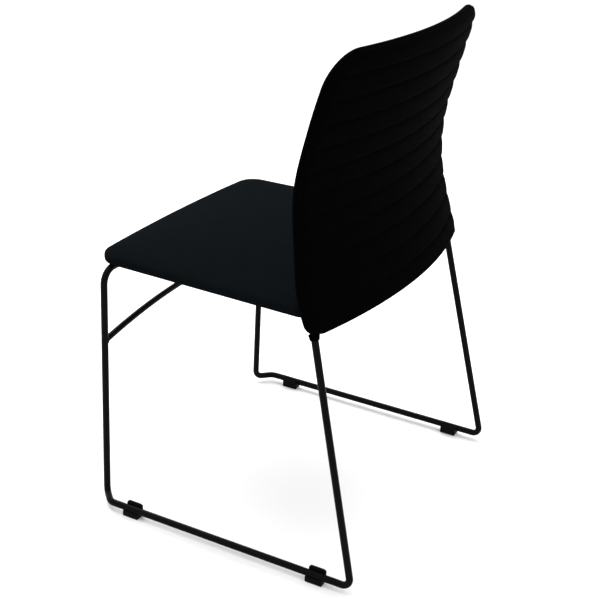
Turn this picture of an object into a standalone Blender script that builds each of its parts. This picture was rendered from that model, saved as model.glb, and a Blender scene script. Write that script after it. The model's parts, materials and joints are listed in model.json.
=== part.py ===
"""Stacking chair: a sled frame bent from steel rod, a padded seat and a thin quilted back.

Metres, +Z up. The sitter faces -Y, so the sitter's left is +X. The origin is on the floor,
under the middle of the chair. Every piece that touches another keeps a gap of 0.3 mm or more.
"""
import math
from bisect import bisect_right

import bmesh
import bpy
from mathutils import Matrix, Vector

# ------------------------------------------------------------------ frame
ROD_R = 0.0055              # frame rod, 11 mm
BAR_R = 0.0050              # bowed cross bar, 10 mm
RAIL_R = 0.0045             # rail under the seat's rear, 9 mm
GAP = 0.0003                # gap between pieces that touch
ROD_Z = 0.0130              # rod centre above the floor, on the runners
RUNNER_X = 0.2685
LEG_X = 0.2440              # the front legs stand inboard of the runners
FRONT_Y = -0.2138           # front legs and front rail
KINK = RUNNER_X - LEG_X     # the rod turns out to the runner at 45 degrees
REAR_Y = 0.2442             # where runner and rear leg would meet
RAIL_Z = 0.4030             # front rail
REAR_LEG_LEAN = 0.251       # forward run of the rear leg for each metre of height
REAR_LEG_TAPER = 0.059      # inward run of the rear leg for each metre of height
TIGHT_BEND = 0.012
KINK_BEND = 0.020
RAIL_BEND = 0.023
LEG_TOP_Z = 0.3950          # the rear leg is straight up to here
UPRIGHT_Z = 0.4350          # and follows the back from here up
BAR_TOP_Z = 0.3095          # highest point of the bowed bar
BAR_BOW_R = 1.25            # radius of its bow
REAR_RAIL_Z = 0.4025

# ------------------------------------------------------------------ back
BACK_BOTTOM = 0.3950
BACK_TOP = 0.7915
BACK_CORNER_TOP = 0.052
BACK_CORNER_BOTTOM = 0.016
BOW = 0.56                  # the back's plan curve: depth for each square metre of x squared
BOW_X = 0.246               # where the side profile below is taken
PROFILE = ((0.385, 0.1580), (0.46, 0.1320), (0.53, 0.1165), (0.60, 0.1152), (0.68, 0.1305), (0.80, 0.1583))
HALF_WIDTH = ((0.385, 0.2630), (0.44, 0.2644), (0.52, 0.2530), (0.60, 0.2545), (0.70, 0.2530), (0.80, 0.2435))
UPRIGHT_INSET = 0.0155      # rod centre inside the back's outline
PANEL_T = 0.0050
PANEL_BOTTOM = 0.4210
COVER_T = 0.0011
COVER_D = 0.0096            # cover skin from the back's middle surface
SEAM_D = 0.0010             # seam between front and rear covers, from the middle surface
LUG_ZS = (0.475, 0.685)     # the panel's four fixing lugs

# ------------------------------------------------------------------ seat
SEAT_HALF_FRONT = 0.2305
SEAT_HALF_REAR = 0.2415
SEAT_FRONT = -0.2463
SEAT_FRONT_BOW = 0.16
SEAT_CORNER = 0.034
SEAT_CORNER_REAR = 0.018
SEAT_BOTTOM = 0.4092
BOARD_BOTTOM = 0.4105
BOARD_T = 0.0090
SEAT_SIDE = 0.4190          # the cover's side stands upright up to here
SEAT_TOP = 0.4280           # and rolls over to this height
SEAT_ROLL = 0.0340          # at this distance in from the outline
SEAT_CROWN = 0.0085         # further rise from there to the middle
FOAM_INSET = 0.0030         # foam inside the cover's outer face
ROLL_STEPS = 5
SEAT_TO_BACK = 0.0040       # gap between seat and back
SEAT_LEVEL = 0.43           # the height where that gap is measured
TAB_XS = (0.120, 0.100)     # front and rear tabs
TAB_TOP = 0.4085
TAB_T = 0.0020

# ------------------------------------------------------------------ glides
GLIDE_YS = (-0.1468, 0.1847)
GLIDE_L = 0.0270
GLIDE_IN = 0.0098
GLIDE_OUT = 0.0064
GLIDE_EAR_Z = 0.0225
GLIDE_LIP_Z = 0.0100

# ------------------------------------------------------------------ fasteners
CLEAR = 0.0004              # a hole is wider than its fastener by this on each side
GLIDE_SCREW_R = 0.0015
GLIDE_HEAD_R = 0.0031
GLIDE_HEAD_Z = (0.0008, 0.0027)
GLIDE_SCREW_TIP = 0.0138
SEAT_SCREW_R = 0.0024
SEAT_HEAD_R = 0.0046
SEAT_HEAD_T = 0.0031
NUT_BARREL_R = 0.0037
NUT_FLANGE_R = 0.0085
NUT_FLANGE_T = 0.0011
RIVET_R = 0.0016
RIVET_HEAD_R = 0.0032
RIVET_HEAD_T = 0.0010
LUG_W = 0.0230
LUG_H = 0.0180
LUG_T = 0.0020
LUG_D = 0.0042              # middle of a lug, behind the back's middle surface
COLLAR_Z = (0.3850, 0.3935)
COLLAR_R = 0.0082

COLUMNS = 10                # faces across each curved layer
STEPS = 12                  # faces round each small turned piece

BELOW = -0.0010             # cutters that come up through the soles start here
SIDES = ((1, "left"), (-1, "right"))

COLOURS = {
    "frame_paint": ((0.020, 0.020, 0.019), 0.38, 0.0),
    "zinc": ((0.45, 0.46, 0.47), 0.35, 1.0),
    "cover_fabric": ((0.010, 0.011, 0.012), 0.90, 0.0),
    "seat_fabric": ((0.013, 0.015, 0.016), 0.90, 0.0),
    "foam": ((0.30, 0.30, 0.29), 0.95, 0.0),
    "plywood": ((0.48, 0.33, 0.18), 0.60, 0.0),
    "black_plastic": ((0.018, 0.018, 0.018), 0.50, 0.0),
    "liner": ((0.030, 0.030, 0.032), 0.95, 0.0),
}


# ------------------------------------------------------------------ scene helpers
def clear_scene():
    for obj in list(bpy.data.objects):
        bpy.data.objects.remove(obj, do_unlink=True)


def make_collection(name):
    made = bpy.data.collections.new(name)
    bpy.context.scene.collection.children.link(made)
    return made


def make_materials():
    made = {}
    for name, (colour, roughness, metallic) in COLOURS.items():
        mat = bpy.data.materials.new(name)
        mat.use_nodes = True
        shader = mat.node_tree.nodes["Principled BSDF"]
        shader.inputs["Base Color"].default_value = (*colour, 1.0)
        shader.inputs["Roughness"].default_value = roughness
        shader.inputs["Metallic"].default_value = metallic
        made[name] = mat
    return made


def mesh_object(name, bm, mat, smooth=40):
    """Turn a bmesh into a named part with one material."""
    bmesh.ops.recalc_face_normals(bm, faces=bm.faces)
    mesh = bpy.data.meshes.new(name)
    bm.to_mesh(mesh)
    bm.free()
    mesh.shade_smooth()
    mesh.set_sharp_from_angle(angle=math.radians(smooth))
    obj = bpy.data.objects.new(name, mesh)
    obj.data.materials.append(MATS[mat])
    PARTS.objects.link(obj)
    return obj


def solidify(obj, thickness, offset):
    mod = obj.modifiers.new("thickness", "SOLIDIFY")
    mod.thickness = thickness
    mod.offset = offset
    mod.use_even_offset = True
    return obj


def bevel(obj, width, segments=1, angle=50):
    mod = obj.modifiers.new("edges", "BEVEL")
    mod.width = width
    mod.segments = segments
    mod.limit_method = "ANGLE"
    mod.angle_limit = math.radians(angle)
    return obj


def cut(obj, cutter):
    mod = obj.modifiers.new("cut_" + cutter.name, "BOOLEAN")
    mod.operation = "DIFFERENCE"
    mod.object = cutter
    mod.solver = "EXACT"


def as_cutter(obj):
    PARTS.objects.unlink(obj)
    CUTTERS.objects.link(obj)
    obj.hide_render = True
    obj.display_type = "WIRE"
    return obj


def box(name, low, high, mat):
    bm = bmesh.new()
    bmesh.ops.create_cube(bm, size=1.0)
    low = Vector(low)
    high = Vector(high)
    size = high - low
    bmesh.ops.scale(bm, vec=size, verts=bm.verts)
    bmesh.ops.translate(bm, vec=(low + high) / 2, verts=bm.verts)
    return mesh_object(name, bm, mat)


def cylinder(name, radius, low, high, place, mat, sides=STEPS):
    """A cylinder along the local Z of place, from low to high."""
    bm = bmesh.new()
    bmesh.ops.create_cone(bm, cap_ends=True, segments=sides, radius1=radius, radius2=radius, depth=high - low)
    bmesh.ops.translate(bm, vec=(0, 0, (low + high) / 2), verts=bm.verts)
    obj = mesh_object(name, bm, mat)
    obj.matrix_world = place
    return obj


def turned(name, profile, place, mat, steps=STEPS):
    """A turned piece: profile is (radius, height) pairs down the outer side, about local Z."""
    bm = bmesh.new()
    verts = [bm.verts.new((r, 0, z)) for r, z in profile]
    for a, b in zip(verts, verts[1:]):
        bm.edges.new((a, b))
    bored = profile[0][0] > 0
    if bored:
        bm.edges.new((verts[-1], verts[0]))
    mesh = bpy.data.meshes.new(name)
    bm.to_mesh(mesh)
    bm.free()
    obj = bpy.data.objects.new(name, mesh)
    obj.data.materials.append(MATS[mat])
    PARTS.objects.link(obj)
    screw = obj.modifiers.new("turn", "SCREW")
    screw.steps = steps
    screw.render_steps = steps
    screw.use_merge_vertices = True
    screw.merge_threshold = 0.00005
    obj.matrix_world = place
    return obj


def rod(name, points, radius, mat):
    """A bent rod: a poly curve with a round bevel and filled ends."""
    curve = bpy.data.curves.new(name, "CURVE")
    curve.dimensions = "3D"
    curve.bevel_depth = radius
    curve.bevel_resolution = 2
    curve.use_fill_caps = True
    spline = curve.splines.new("POLY")
    spline.points.add(len(points) - 1)
    for slot, point in zip(spline.points, points):
        slot.co = (*point, 1.0)
    obj = bpy.data.objects.new(name, curve)
    obj.data.materials.append(MATS[mat])
    PARTS.objects.link(obj)
    return obj


def rod_as_mesh(obj):
    """The same rod as a mesh with welded ends, so that it can be drilled."""
    bpy.context.view_layer.update()
    source = obj.evaluated_get(bpy.context.evaluated_depsgraph_get())
    mesh = bpy.data.meshes.new_from_object(source)
    bm = bmesh.new()
    bm.from_mesh(mesh)
    bmesh.ops.remove_doubles(bm, verts=bm.verts, dist=0.00001)
    bm.to_mesh(mesh)
    bm.free()
    name = obj.name
    place = obj.matrix_world.copy()
    bpy.data.objects.remove(obj, do_unlink=True)
    made = bpy.data.objects.new(name, mesh)
    made.matrix_world = place
    PARTS.objects.link(made)
    return made


# ------------------------------------------------------------------ geometry helpers
def through(points, t):
    """A smooth curve through (t, value) pairs, which runs on straight past its ends."""
    keys = [p[0] for p in points]
    i = min(max(bisect_right(keys, t) - 1, 0), len(points) - 2)

    def slope(k):
        a = points[max(k - 1, 0)]
        b = points[min(k + 1, len(points) - 1)]
        return (b[1] - a[1]) / (b[0] - a[0])

    (t0, v0), (t1, v1) = points[i], points[i + 1]
    if t < t0:
        return v0 + slope(i) * (t - t0)
    if t > t1:
        return v1 + slope(i + 1) * (t - t1)
    h = t1 - t0
    s = (t - t0) / h
    return (v0 * (1 + 2 * s) * (1 - s) ** 2 + h * slope(i) * s * (1 - s) ** 2
            + v1 * s * s * (3 - 2 * s) + h * slope(i + 1) * s * s * (s - 1))


def bent(corners, radii, steps=5):
    """The centre line of a rod bent at each inner corner to the given radius."""
    corners = [Vector(c) for c in corners]
    line = [corners[0]]
    for before, corner, after, radius in zip(corners, corners[1:], corners[2:], radii):
        back = (before - corner).normalized()
        on = (after - corner).normalized()
        half = back.angle(on) / 2
        centre = corner + (back + on).normalized() * (radius / math.sin(half))
        start = corner + back * (radius / math.tan(half)) - centre
        end = corner + on * (radius / math.tan(half)) - centre
        turn = start.angle(end)
        for k in range(steps + 1):
            share = k / steps
            spoke = start * math.sin((1 - share) * turn) + end * math.sin(share * turn)
            line.append(centre + spoke / math.sin(turn))
    line.append(corners[-1])
    return line


def mirrored(points, side):
    return [Vector((p[0] * side, p[1], p[2])) for p in points]


def middle(x, z):
    """The back's middle surface: y at a place across and up."""
    return through(PROFILE, z) + BOW * (BOW_X ** 2 - x * x)


def on_back(x, z, depth):
    """A point at a depth behind the back's middle surface (negative is in front)."""
    step = 0.001
    rise = (middle(x, z + step) - middle(x, z - step)) / (2 * step)
    normal = Vector((2 * BOW * x, 1, -rise)).normalized()
    return Vector((x, middle(x, z), z)) + normal * depth


def along(low, high):
    """A frame at low with local Z towards high."""
    return Matrix.Translation(low) @ (high - low).to_track_quat("Z", "Y").to_matrix().to_4x4()


def back_place(x, z):
    """A frame on the back's middle surface with local Z along its rearward normal."""
    return along(on_back(x, z, 0), on_back(x, z, 0.01))


def round_corner(radius, inset):
    """The corner radius of an outline drawn in by inset, and its centre's distance from the edge."""
    drawn = max(radius - inset, 0.002)
    return drawn, inset + drawn


def back_rows(bottom, top, corner_bottom, corner_top, inset=0.0, straight=7, arc=3):
    """Heights and half widths of a back outline with round corners, drawn in by inset."""
    rows = []
    r_low, in_low = round_corner(corner_bottom, inset)
    r_high, in_high = round_corner(corner_top, inset)
    low = bottom + in_low
    high = top - in_high
    for k in range(arc):
        angle = math.radians(-90 + 90 * k / arc)
        z = low + r_low * math.sin(angle)
        rows.append((z, through(HALF_WIDTH, z) - in_low + r_low * math.cos(angle)))
    for k in range(straight + 1):
        z = low + (high - low) * k / straight
        rows.append((z, through(HALF_WIDTH, z) - inset))
    for k in range(1, arc + 1):
        angle = math.radians(90 * k / arc)
        z = high + r_high * math.sin(angle)
        rows.append((z, through(HALF_WIDTH, z) - in_high + r_high * math.cos(angle)))
    return rows


def loft(rows, columns, point):
    """A grid of faces over rows of (place, half width); point(x, place) gives each vertex."""
    bm = bmesh.new()
    grid = []
    for place, half in rows:
        line = [bm.verts.new(point(half * (2 * k / columns - 1), place)) for k in range(columns + 1)]
        grid.append(line)
    for low, high in zip(grid, grid[1:]):
        for k in range(columns):
            bm.faces.new((low[k], low[k + 1], high[k + 1], high[k]))
    return bm, grid


def rim(grid):
    """The grid's border, up one side, across the far row and down the other side."""
    return [row[0] for row in grid] + grid[-1][1:-1] + [row[-1] for row in reversed(grid)]


def add_ring(bm, border, points, closed):
    """Join a new line of points to the border and return it."""
    ring = [bm.verts.new(p) for p in points]
    count = len(ring) if closed else len(ring) - 1
    for k in range(count):
        n = (k + 1) % len(ring)
        bm.faces.new((border[k], border[n], ring[n], ring[k]))
    return ring


def rim_points(rows, columns, point):
    """The places of rim(grid) for another set of rows."""
    last, half = rows[-1]
    across = [point(half * (2 * k / columns - 1), last) for k in range(1, columns)]
    left = [point(-h, place) for place, h in rows]
    right = [point(h, place) for place, h in reversed(rows)]
    return left + across + right


# ------------------------------------------------------------------ frame pieces
def upright_x(z):
    return through(HALF_WIDTH, z) - UPRIGHT_INSET


def rear_leg_point(z):
    rise = z - ROD_Z
    return Vector((RUNNER_X - REAR_LEG_TAPER * rise, REAR_Y - REAR_LEG_LEAN * rise, z))


def loop_line():
    """Centre line of the rod inside the back: up the left side, round the corner and in to the middle."""
    line = []
    high = BACK_TOP - BACK_CORNER_TOP
    count = 7
    for k in range(count + 1):
        z = UPRIGHT_Z + (high - UPRIGHT_Z) * k / count
        line.append(Vector((upright_x(z), middle(upright_x(z), z), z)))
    corner = BACK_CORNER_TOP - UPRIGHT_INSET
    steps = 5
    for k in range(1, steps + 1):
        angle = math.radians(90 * k / steps)
        z = high + corner * math.sin(angle)
        x = through(HALF_WIDTH, z) - BACK_CORNER_TOP + corner * math.cos(angle)
        line.append(Vector((x, middle(x, z), z)))
    end = line[-1]
    straight_end = 2 * ROD_R        # the last stretch is square to the plane where the halves meet
    for k in range(1, steps + 1):
        x = end.x + (straight_end - end.x) * k / steps
        line.append(Vector((x, middle(x, end.z), end.z)))
    line.append(Vector((GAP / 2, line[-1].y, end.z)))
    return line


def frame_line():
    """Centre line of the left half frame, from the front rail's middle to the top rail's middle."""
    lower = bent(
        [(GAP / 2, FRONT_Y, RAIL_Z), (LEG_X, FRONT_Y, RAIL_Z), (LEG_X, FRONT_Y, ROD_Z),
         (RUNNER_X, FRONT_Y + KINK, ROD_Z), (RUNNER_X, REAR_Y, ROD_Z), rear_leg_point(LEG_TOP_Z)],
        [RAIL_BEND, TIGHT_BEND, KINK_BEND, TIGHT_BEND])
    return lower + loop_line()


def make_frame_rods():
    """Two bent rods that meet at the middle of the front rail and of the top rail, drilled for the glides."""
    hole_top = GLIDE_SCREW_TIP + CLEAR
    for side, name in SIDES:
        frame = rod("frame_rod_" + name, mirrored(frame_line(), side), ROD_R, "frame_paint")
        frame = rod_as_mesh(frame)
        for label, y in zip(("front", "rear"), GLIDE_YS):
            place = Matrix.Translation((side * RUNNER_X, y, 0))
            hole = cylinder(f"cut_rod_{label}_{name}", GLIDE_SCREW_R + CLEAR, BELOW, hole_top, place, "zinc")
            cut(frame, as_cutter(hole))


def make_cross_bar():
    """A bar bowed upwards between the front legs."""
    end = LEG_X - ROD_R - 3 * GAP
    count = 12
    bar = []
    for k in range(count + 1):
        x = end - 2 * end * k / count
        drop = BAR_BOW_R - math.sqrt(BAR_BOW_R ** 2 - x * x)
        bar.append(Vector((x, FRONT_Y, BAR_TOP_Z - drop)))
    rod("front_cross_bar", bar, BAR_R, "frame_paint")


def make_rear_rail():
    """A straight rail between the rear legs, which carries the seat's rear tabs."""
    leg = rear_leg_point(REAR_RAIL_Z)
    end = leg.x - ROD_R - 2 * GAP
    rod("rear_cross_rail", [(x, leg.y, leg.z) for x in (-end, 0, end)], RAIL_R, "frame_paint")


def make_collars():
    """A soft collar round each rear leg, where it goes into the back."""
    low, high = [rear_leg_point(z) for z in COLLAR_Z]
    length = (high - low).length
    bore = ROD_R + GAP
    edge = 0.001
    profile = ((COLLAR_R - edge, length), (COLLAR_R, length - edge), (COLLAR_R, edge), (COLLAR_R - edge, 0),
               (bore, 0), (bore, length))
    for side, name in SIDES:
        turned("rear_leg_collar_" + name, profile, along(*mirrored((low, high), side)), "black_plastic")


# ------------------------------------------------------------------ fasteners
def screw_profile(shank, head, tip, neck, foot, edge=0.0005):
    """A screw standing on its head: radii of shank and head, then the heights of tip, neck and foot."""
    return ((0, tip), (shank - edge, tip), (shank, tip - edge), (shank, neck), (head, neck),
            (head, foot + edge), (head - edge, foot), (0, foot))


def nut_profile(top, bottom):
    """A tee nut, flange up."""
    bore = SEAT_SCREW_R + CLEAR
    neck = top - NUT_FLANGE_T
    return ((NUT_FLANGE_R, top), (NUT_FLANGE_R, neck), (NUT_BARREL_R, neck), (NUT_BARREL_R, bottom),
            (bore, bottom), (bore, top))


def rivet_profile():
    """A rivet through lug and panel, its tail to the rear."""
    tail = LUG_D + LUG_T / 2 + GAP
    face = -PANEL_T / 2 - GAP
    edge = 0.0006
    return ((0, tail + 0.0008), (RIVET_HEAD_R - 2 * edge, tail + 0.0008), (RIVET_HEAD_R - edge, tail),
            (RIVET_R, tail), (RIVET_R, face), (RIVET_HEAD_R, face),
            (RIVET_HEAD_R - edge, face - RIVET_HEAD_T + 0.0002), (0, face - RIVET_HEAD_T))


# ------------------------------------------------------------------ glides
def glide_outline():
    """Section of a glide: x runs inboard from the rod's centre. The rod lies in an open saddle."""
    saddle = ROD_R + GAP
    chamfer = 0.002
    points = [(-GLIDE_OUT, 0), (GLIDE_IN, 0), (GLIDE_IN, GLIDE_EAR_Z), (saddle + chamfer / 3, GLIDE_EAR_Z),
              (saddle, GLIDE_EAR_Z - chamfer)]
    lip_angle = 180 + math.degrees(math.asin((ROD_Z - GLIDE_LIP_Z) / saddle))
    steps = 8
    for k in range(steps + 1):
        angle = math.radians(-(360 - lip_angle) * k / steps)
        points.append((saddle * math.cos(angle), ROD_Z + saddle * math.sin(angle)))
    points.append((-GLIDE_OUT, GLIDE_LIP_Z))
    return points


def make_glide(name, side, y):
    """A block under the rod with an ear inboard of it, held by a countersunk screw from below."""
    bm = bmesh.new()
    start = y - GLIDE_L / 2
    outline = [bm.verts.new((side * (RUNNER_X - x), start, z)) for x, z in glide_outline()]
    face = bm.faces.new(outline)
    run = bmesh.ops.extrude_face_region(bm, geom=[face])
    moved = [v for v in run["geom"] if isinstance(v, bmesh.types.BMVert)]
    bmesh.ops.translate(bm, vec=(0, GLIDE_L, 0), verts=moved)
    glide = mesh_object("glide_" + name, bm, "black_plastic")
    bevel(glide, 0.0007)
    place = Matrix.Translation((side * RUNNER_X, y, 0))
    foot, neck = GLIDE_HEAD_Z
    shank = cylinder("cut_glide_shank_" + name, GLIDE_SCREW_R + CLEAR, BELOW, ROD_Z, place, "zinc")
    head = cylinder("cut_glide_head_" + name, GLIDE_HEAD_R + CLEAR, BELOW, neck + GAP, place, "zinc")
    cut(glide, as_cutter(shank))
    cut(glide, as_cutter(head))
    profile = screw_profile(GLIDE_SCREW_R, GLIDE_HEAD_R, GLIDE_SCREW_TIP, neck, foot)
    turned("glide_screw_" + name, profile, place, "zinc")


def make_glides():
    for side, name in SIDES:
        for label, y in zip(("front", "rear"), GLIDE_YS):
            make_glide(f"{label}_{name}", side, y)


# ------------------------------------------------------------------ seat
def seat_rear(x):
    """The seat's rear edge runs along the back, a little in front of it."""
    lean = 1.08                 # the back leans here, so its skin is this much thicker along Y
    return middle(x, SEAT_LEVEL) - COVER_D * lean - COVER_T / 2 - SEAT_TO_BACK


def seat_half(share):
    """Half width of the seat at a share of its depth. It widens a little towards the rear."""
    return SEAT_HALF_FRONT + (SEAT_HALF_REAR - SEAT_HALF_FRONT) * share


def seat_rows(inset=0.0, straight=4, front_arc=4, rear_arc=3):
    """Shares of the seat's depth and half widths, with round corners, drawn in by inset."""
    rows = []
    length = seat_rear(0) - SEAT_FRONT
    r_front, in_front = round_corner(SEAT_CORNER, inset)
    r_rear, in_rear = round_corner(SEAT_CORNER_REAR, inset)
    for k in range(front_arc):
        angle = math.radians(90 * k / front_arc)
        run = in_front - r_front * math.cos(angle)
        rows.append((run / length, seat_half(run / length) - in_front + r_front * math.sin(angle)))
    for k in range(straight + 1):
        run = in_front + (length - in_front - in_rear) * k / straight
        rows.append((run / length, seat_half(run / length) - inset))
    for k in range(1, rear_arc + 1):
        angle = math.radians(90 * k / rear_arc)
        run = length - in_rear + r_rear * math.sin(angle)
        rows.append((run / length, seat_half(run / length) - in_rear + r_rear * math.cos(angle)))
    return rows


def seat_y(x, share):
    front = SEAT_FRONT + SEAT_FRONT_BOW * x * x
    return front + (seat_rear(x) - front) * share


def seat_crown(x, share):
    across = 1 - (x / seat_half(share)) ** 2
    lengthwise = 1 - (2 * share - 1) ** 2
    return SEAT_CROWN * across * lengthwise


def seat_plate(name, inset, low, high, mat):
    """A flat plate in the seat's outline."""
    level = (low + high) / 2
    bm, _ = loft(seat_rows(inset), COLUMNS, lambda x, share: Vector((x, seat_y(x, share), level)))
    return solidify(mesh_object(name, bm, mat), high - low, 0)


def seat_roll(inset=0.0):
    """The rounded shoulder, from its inner edge out: distance in from the outline, height, share of the crown."""
    rings = []
    for k in range(ROLL_STEPS, -1, -1):
        angle = math.radians(90 * k / ROLL_STEPS)
        rise = math.sin(angle)
        rings.append((SEAT_ROLL + (inset - SEAT_ROLL) * math.cos(angle),
                      SEAT_SIDE - inset + (SEAT_TOP - SEAT_SIDE) * rise, rise))
    return rings


def seat_form(rings):
    """A crowned top inside the first ring, carried on through the other rings. Returns the last one too."""
    inset, level, _ = rings[0]
    bm, grid = loft(seat_rows(inset), COLUMNS,
                    lambda x, share: Vector((x, seat_y(x, share), level + seat_crown(x, share))))
    border = rim(grid) + list(reversed(grid[0][1:-1]))
    for inset, level, crown in rings[1:]:
        rows = seat_rows(inset)

        def place(x, share, level=level, crown=crown):
            return Vector((x, seat_y(x, share), level + crown * seat_crown(x, share)))

        points = rim_points(rows, COLUMNS, place)
        share, half = rows[0]
        points += [place(half * (1 - 2 * k / COLUMNS), share) for k in range(1, COLUMNS)]
        border = add_ring(bm, border, points, closed=True)
    return bm, border


def make_seat_cover():
    """One skin: a crowned top, rolled down the sides and turned in under the board."""
    turn = 0.0240               # width of the hem under the board
    lower = [(0.0, SEAT_BOTTOM + 0.0040, 0), (0.0012, SEAT_BOTTOM + 0.0010, 0), (0.0035, SEAT_BOTTOM, 0),
             (turn, SEAT_BOTTOM, 0)]
    bm, _ = seat_form(seat_roll() + lower)
    solidify(mesh_object("seat_cover", bm, "seat_fabric", smooth=60), COVER_T, -1)


def make_seat_foam(bottom):
    """Moulded foam on the board, which fills the cover's crown."""
    rings = [ring for ring in seat_roll(FOAM_INSET) if ring[1] > bottom + GAP]
    bm, border = seat_form(rings + [(rings[-1][0], bottom, 0)])
    bm.faces.new(border)
    mesh_object("seat_foam", bm, "foam", smooth=60)


def tab_places():
    """Name, x, screw y and both ends in y of each tab, which reaches the front or the rear rail."""
    rail_y = rear_leg_point(REAR_RAIL_Z).y
    places = []
    for side, name in SIDES:
        x = side * TAB_XS[0]
        places.append(("front_" + name, x, FRONT_Y + 0.0240, FRONT_Y + 0.0048, FRONT_Y + 0.0360))
        x = side * TAB_XS[1]
        places.append(("rear_" + name, x, rail_y - 0.0240, rail_y - 0.0370, rail_y - 0.0028))
    return places


def make_seat():
    board_top = BOARD_BOTTOM + BOARD_T
    board = seat_plate("seat_board", 0.0050, BOARD_BOTTOM, board_top, "plywood")
    liner = seat_plate("seat_liner", 0.0265, SEAT_BOTTOM + 0.0001, SEAT_BOTTOM + 0.0009, "liner")
    make_seat_foam(board_top + GAP)
    make_seat_cover()

    tab_half = 0.0130
    over = SEAT_TOP             # the cutters reach past the board
    nut_top = board_top - GAP
    nut_bottom = BOARD_BOTTOM + GAP
    head_top = TAB_TOP - TAB_T - CLEAR
    head_foot = head_top - SEAT_HEAD_T
    seat_screw = screw_profile(SEAT_SCREW_R, SEAT_HEAD_R, nut_top - 0.0018, head_top, head_foot)
    for name, x, hole_y, y0, y1 in tab_places():
        place = Matrix.Translation((x, hole_y, 0))
        tab = box("seat_tab_" + name, (x - tab_half, y0, TAB_TOP - TAB_T), (x + tab_half, y1, TAB_TOP),
                  "frame_paint")
        hole = cylinder("cut_tab_" + name, SEAT_SCREW_R + CLEAR, head_foot, over, place, "zinc")
        barrel = cylinder("cut_nut_" + name, NUT_BARREL_R + CLEAR, TAB_TOP, over, place, "zinc")
        flange = cylinder("cut_flange_" + name, NUT_FLANGE_R + CLEAR, nut_top - NUT_FLANGE_T - GAP, over, place,
                          "zinc")
        for cutter in (hole, barrel, flange):
            as_cutter(cutter)
        cut(tab, hole)
        cut(liner, hole)
        cut(board, barrel)
        cut(board, flange)
        turned("seat_screw_" + name, seat_screw, place, "zinc")
        turned("seat_nut_" + name, nut_profile(nut_top, nut_bottom), place, "zinc")


# ------------------------------------------------------------------ back
def back_layer(name, rows, front, rear, mat):
    """A layer of the back between two depths from its middle surface."""
    depth = (front + rear) / 2
    bm, _ = loft(rows, COLUMNS, lambda x, z: on_back(x, z, depth))
    return solidify(mesh_object(name, bm, mat), rear - front, 0)


def back_cover(name, rings):
    """A cover skin with a rounded rim on both sides and the top, open along the bottom.

    Each ring is how far it is drawn in from the outline, and its depth from the middle surface.
    """
    outline = (BACK_BOTTOM, BACK_TOP, BACK_CORNER_BOTTOM, BACK_CORNER_TOP)
    inset, depth = rings[0]
    bm, grid = loft(back_rows(*outline, inset), COLUMNS, lambda x, z: on_back(x, z, depth))
    border = rim(grid)
    for inset, depth in rings[1:]:
        points = rim_points(back_rows(*outline, inset), COLUMNS, lambda x, z, d=depth: on_back(x, z, d))
        border = add_ring(bm, border, points, closed=False)
    return solidify(mesh_object(name, bm, "cover_fabric", smooth=60), COVER_T, -1)


def make_back_layers():
    """Inside the covers: a panel within the rod, foam on both faces of it, and a strip in the hem."""
    panel = back_layer("back_panel", back_rows(PANEL_BOTTOM, BACK_TOP, 0.0240, BACK_CORNER_TOP, 0.0222),
                       -PANEL_T / 2, PANEL_T / 2, "plywood")
    back_layer("back_foam_front", back_rows(PANEL_BOTTOM, BACK_TOP, 0.0240, BACK_CORNER_TOP, 0.0210),
               -0.0070, -0.0043, "foam")
    back_layer("back_foam_rear", back_rows(PANEL_BOTTOM - 0.002, BACK_TOP, 0.0200, BACK_CORNER_TOP, 0.0190),
               0.0067, 0.0074, "foam")
    strip_rows = [(z, through(HALF_WIDTH, z) - 0.0250) for z in (0.4000, 0.4090, 0.4180)]
    back_layer("back_hem_strip", strip_rows, 0.0065, 0.0077, "black_plastic")
    return panel


def make_back_covers():
    """Front and rear skins, which meet at a seam round the rim. The legs come in at the lower corners."""
    front = back_cover("back_cover_front", (
        (0.0080, -COVER_D), (0.0035, -0.0084), (0.0010, -0.0052), (0.0, -0.0010), (0.0, SEAM_D - GAP)))
    rear = back_cover("back_cover_rear", (
        (0.0050, COVER_D), (0.0015, 0.0078), (0.0, 0.0042), (0.0, SEAM_D + GAP)))
    past = 0.0900               # well in front of the back
    rear_y = middle(0, REAR_RAIL_Z) - 0.0020
    low = BACK_BOTTOM - 0.0130
    for label, half, high in (("slot", 0.2400, 0.4185), ("heel", 0.2490, 0.4010)):
        opening = box(f"cut_cover_{label}", (-half, past, low), (half, rear_y, high), "zinc")
        cut(front, as_cutter(opening))
    for side, label in SIDES:
        foot, top = mirrored((rear_leg_point(0.3700), rear_leg_point(0.4100)), side)
        hole = cylinder("cut_leg_" + label, ROD_R + 3 * GAP, 0, (top - foot).length, along(foot, top), "zinc")
        as_cutter(hole)
        cut(front, hole)
        cut(rear, hole)


def make_back_fixings(panel):
    """Four lugs from the rod's inner side, each held to the panel by a rivet."""
    rivet = rivet_profile()
    for side, name in SIDES:
        for z, label in zip(LUG_ZS, ("lower", "upper")):
            centre = upright_x(z) - ROD_R - GAP - 0.0002 - LUG_W / 2
            rows = [(z + step * LUG_H / 2, LUG_W / 2) for step in (-1, 0, 1)]
            bm, _ = loft(rows, 2, lambda x, h, c=centre: on_back(side * (c + x), h, LUG_D))
            lug = solidify(mesh_object(f"back_lug_{label}_{name}", bm, "frame_paint"), LUG_T, 0)
            place = back_place(side * (centre - 0.0030), z)
            hole = cylinder(f"cut_rivet_{label}_{name}", RIVET_R + GAP, -0.02, 0.02, place, "zinc")
            as_cutter(hole)
            cut(lug, hole)
            cut(panel, hole)
            turned(f"back_rivet_{label}_{name}", rivet, place, "zinc")


# ------------------------------------------------------------------ build
clear_scene()
PARTS = make_collection("stacking_chair")
CUTTERS = make_collection("cutters")
MATS = make_materials()

make_frame_rods()
make_cross_bar()
make_rear_rail()
make_collars()
make_glides()
make_seat()
make_back_covers()
make_back_fixings(make_back_layers())
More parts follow.
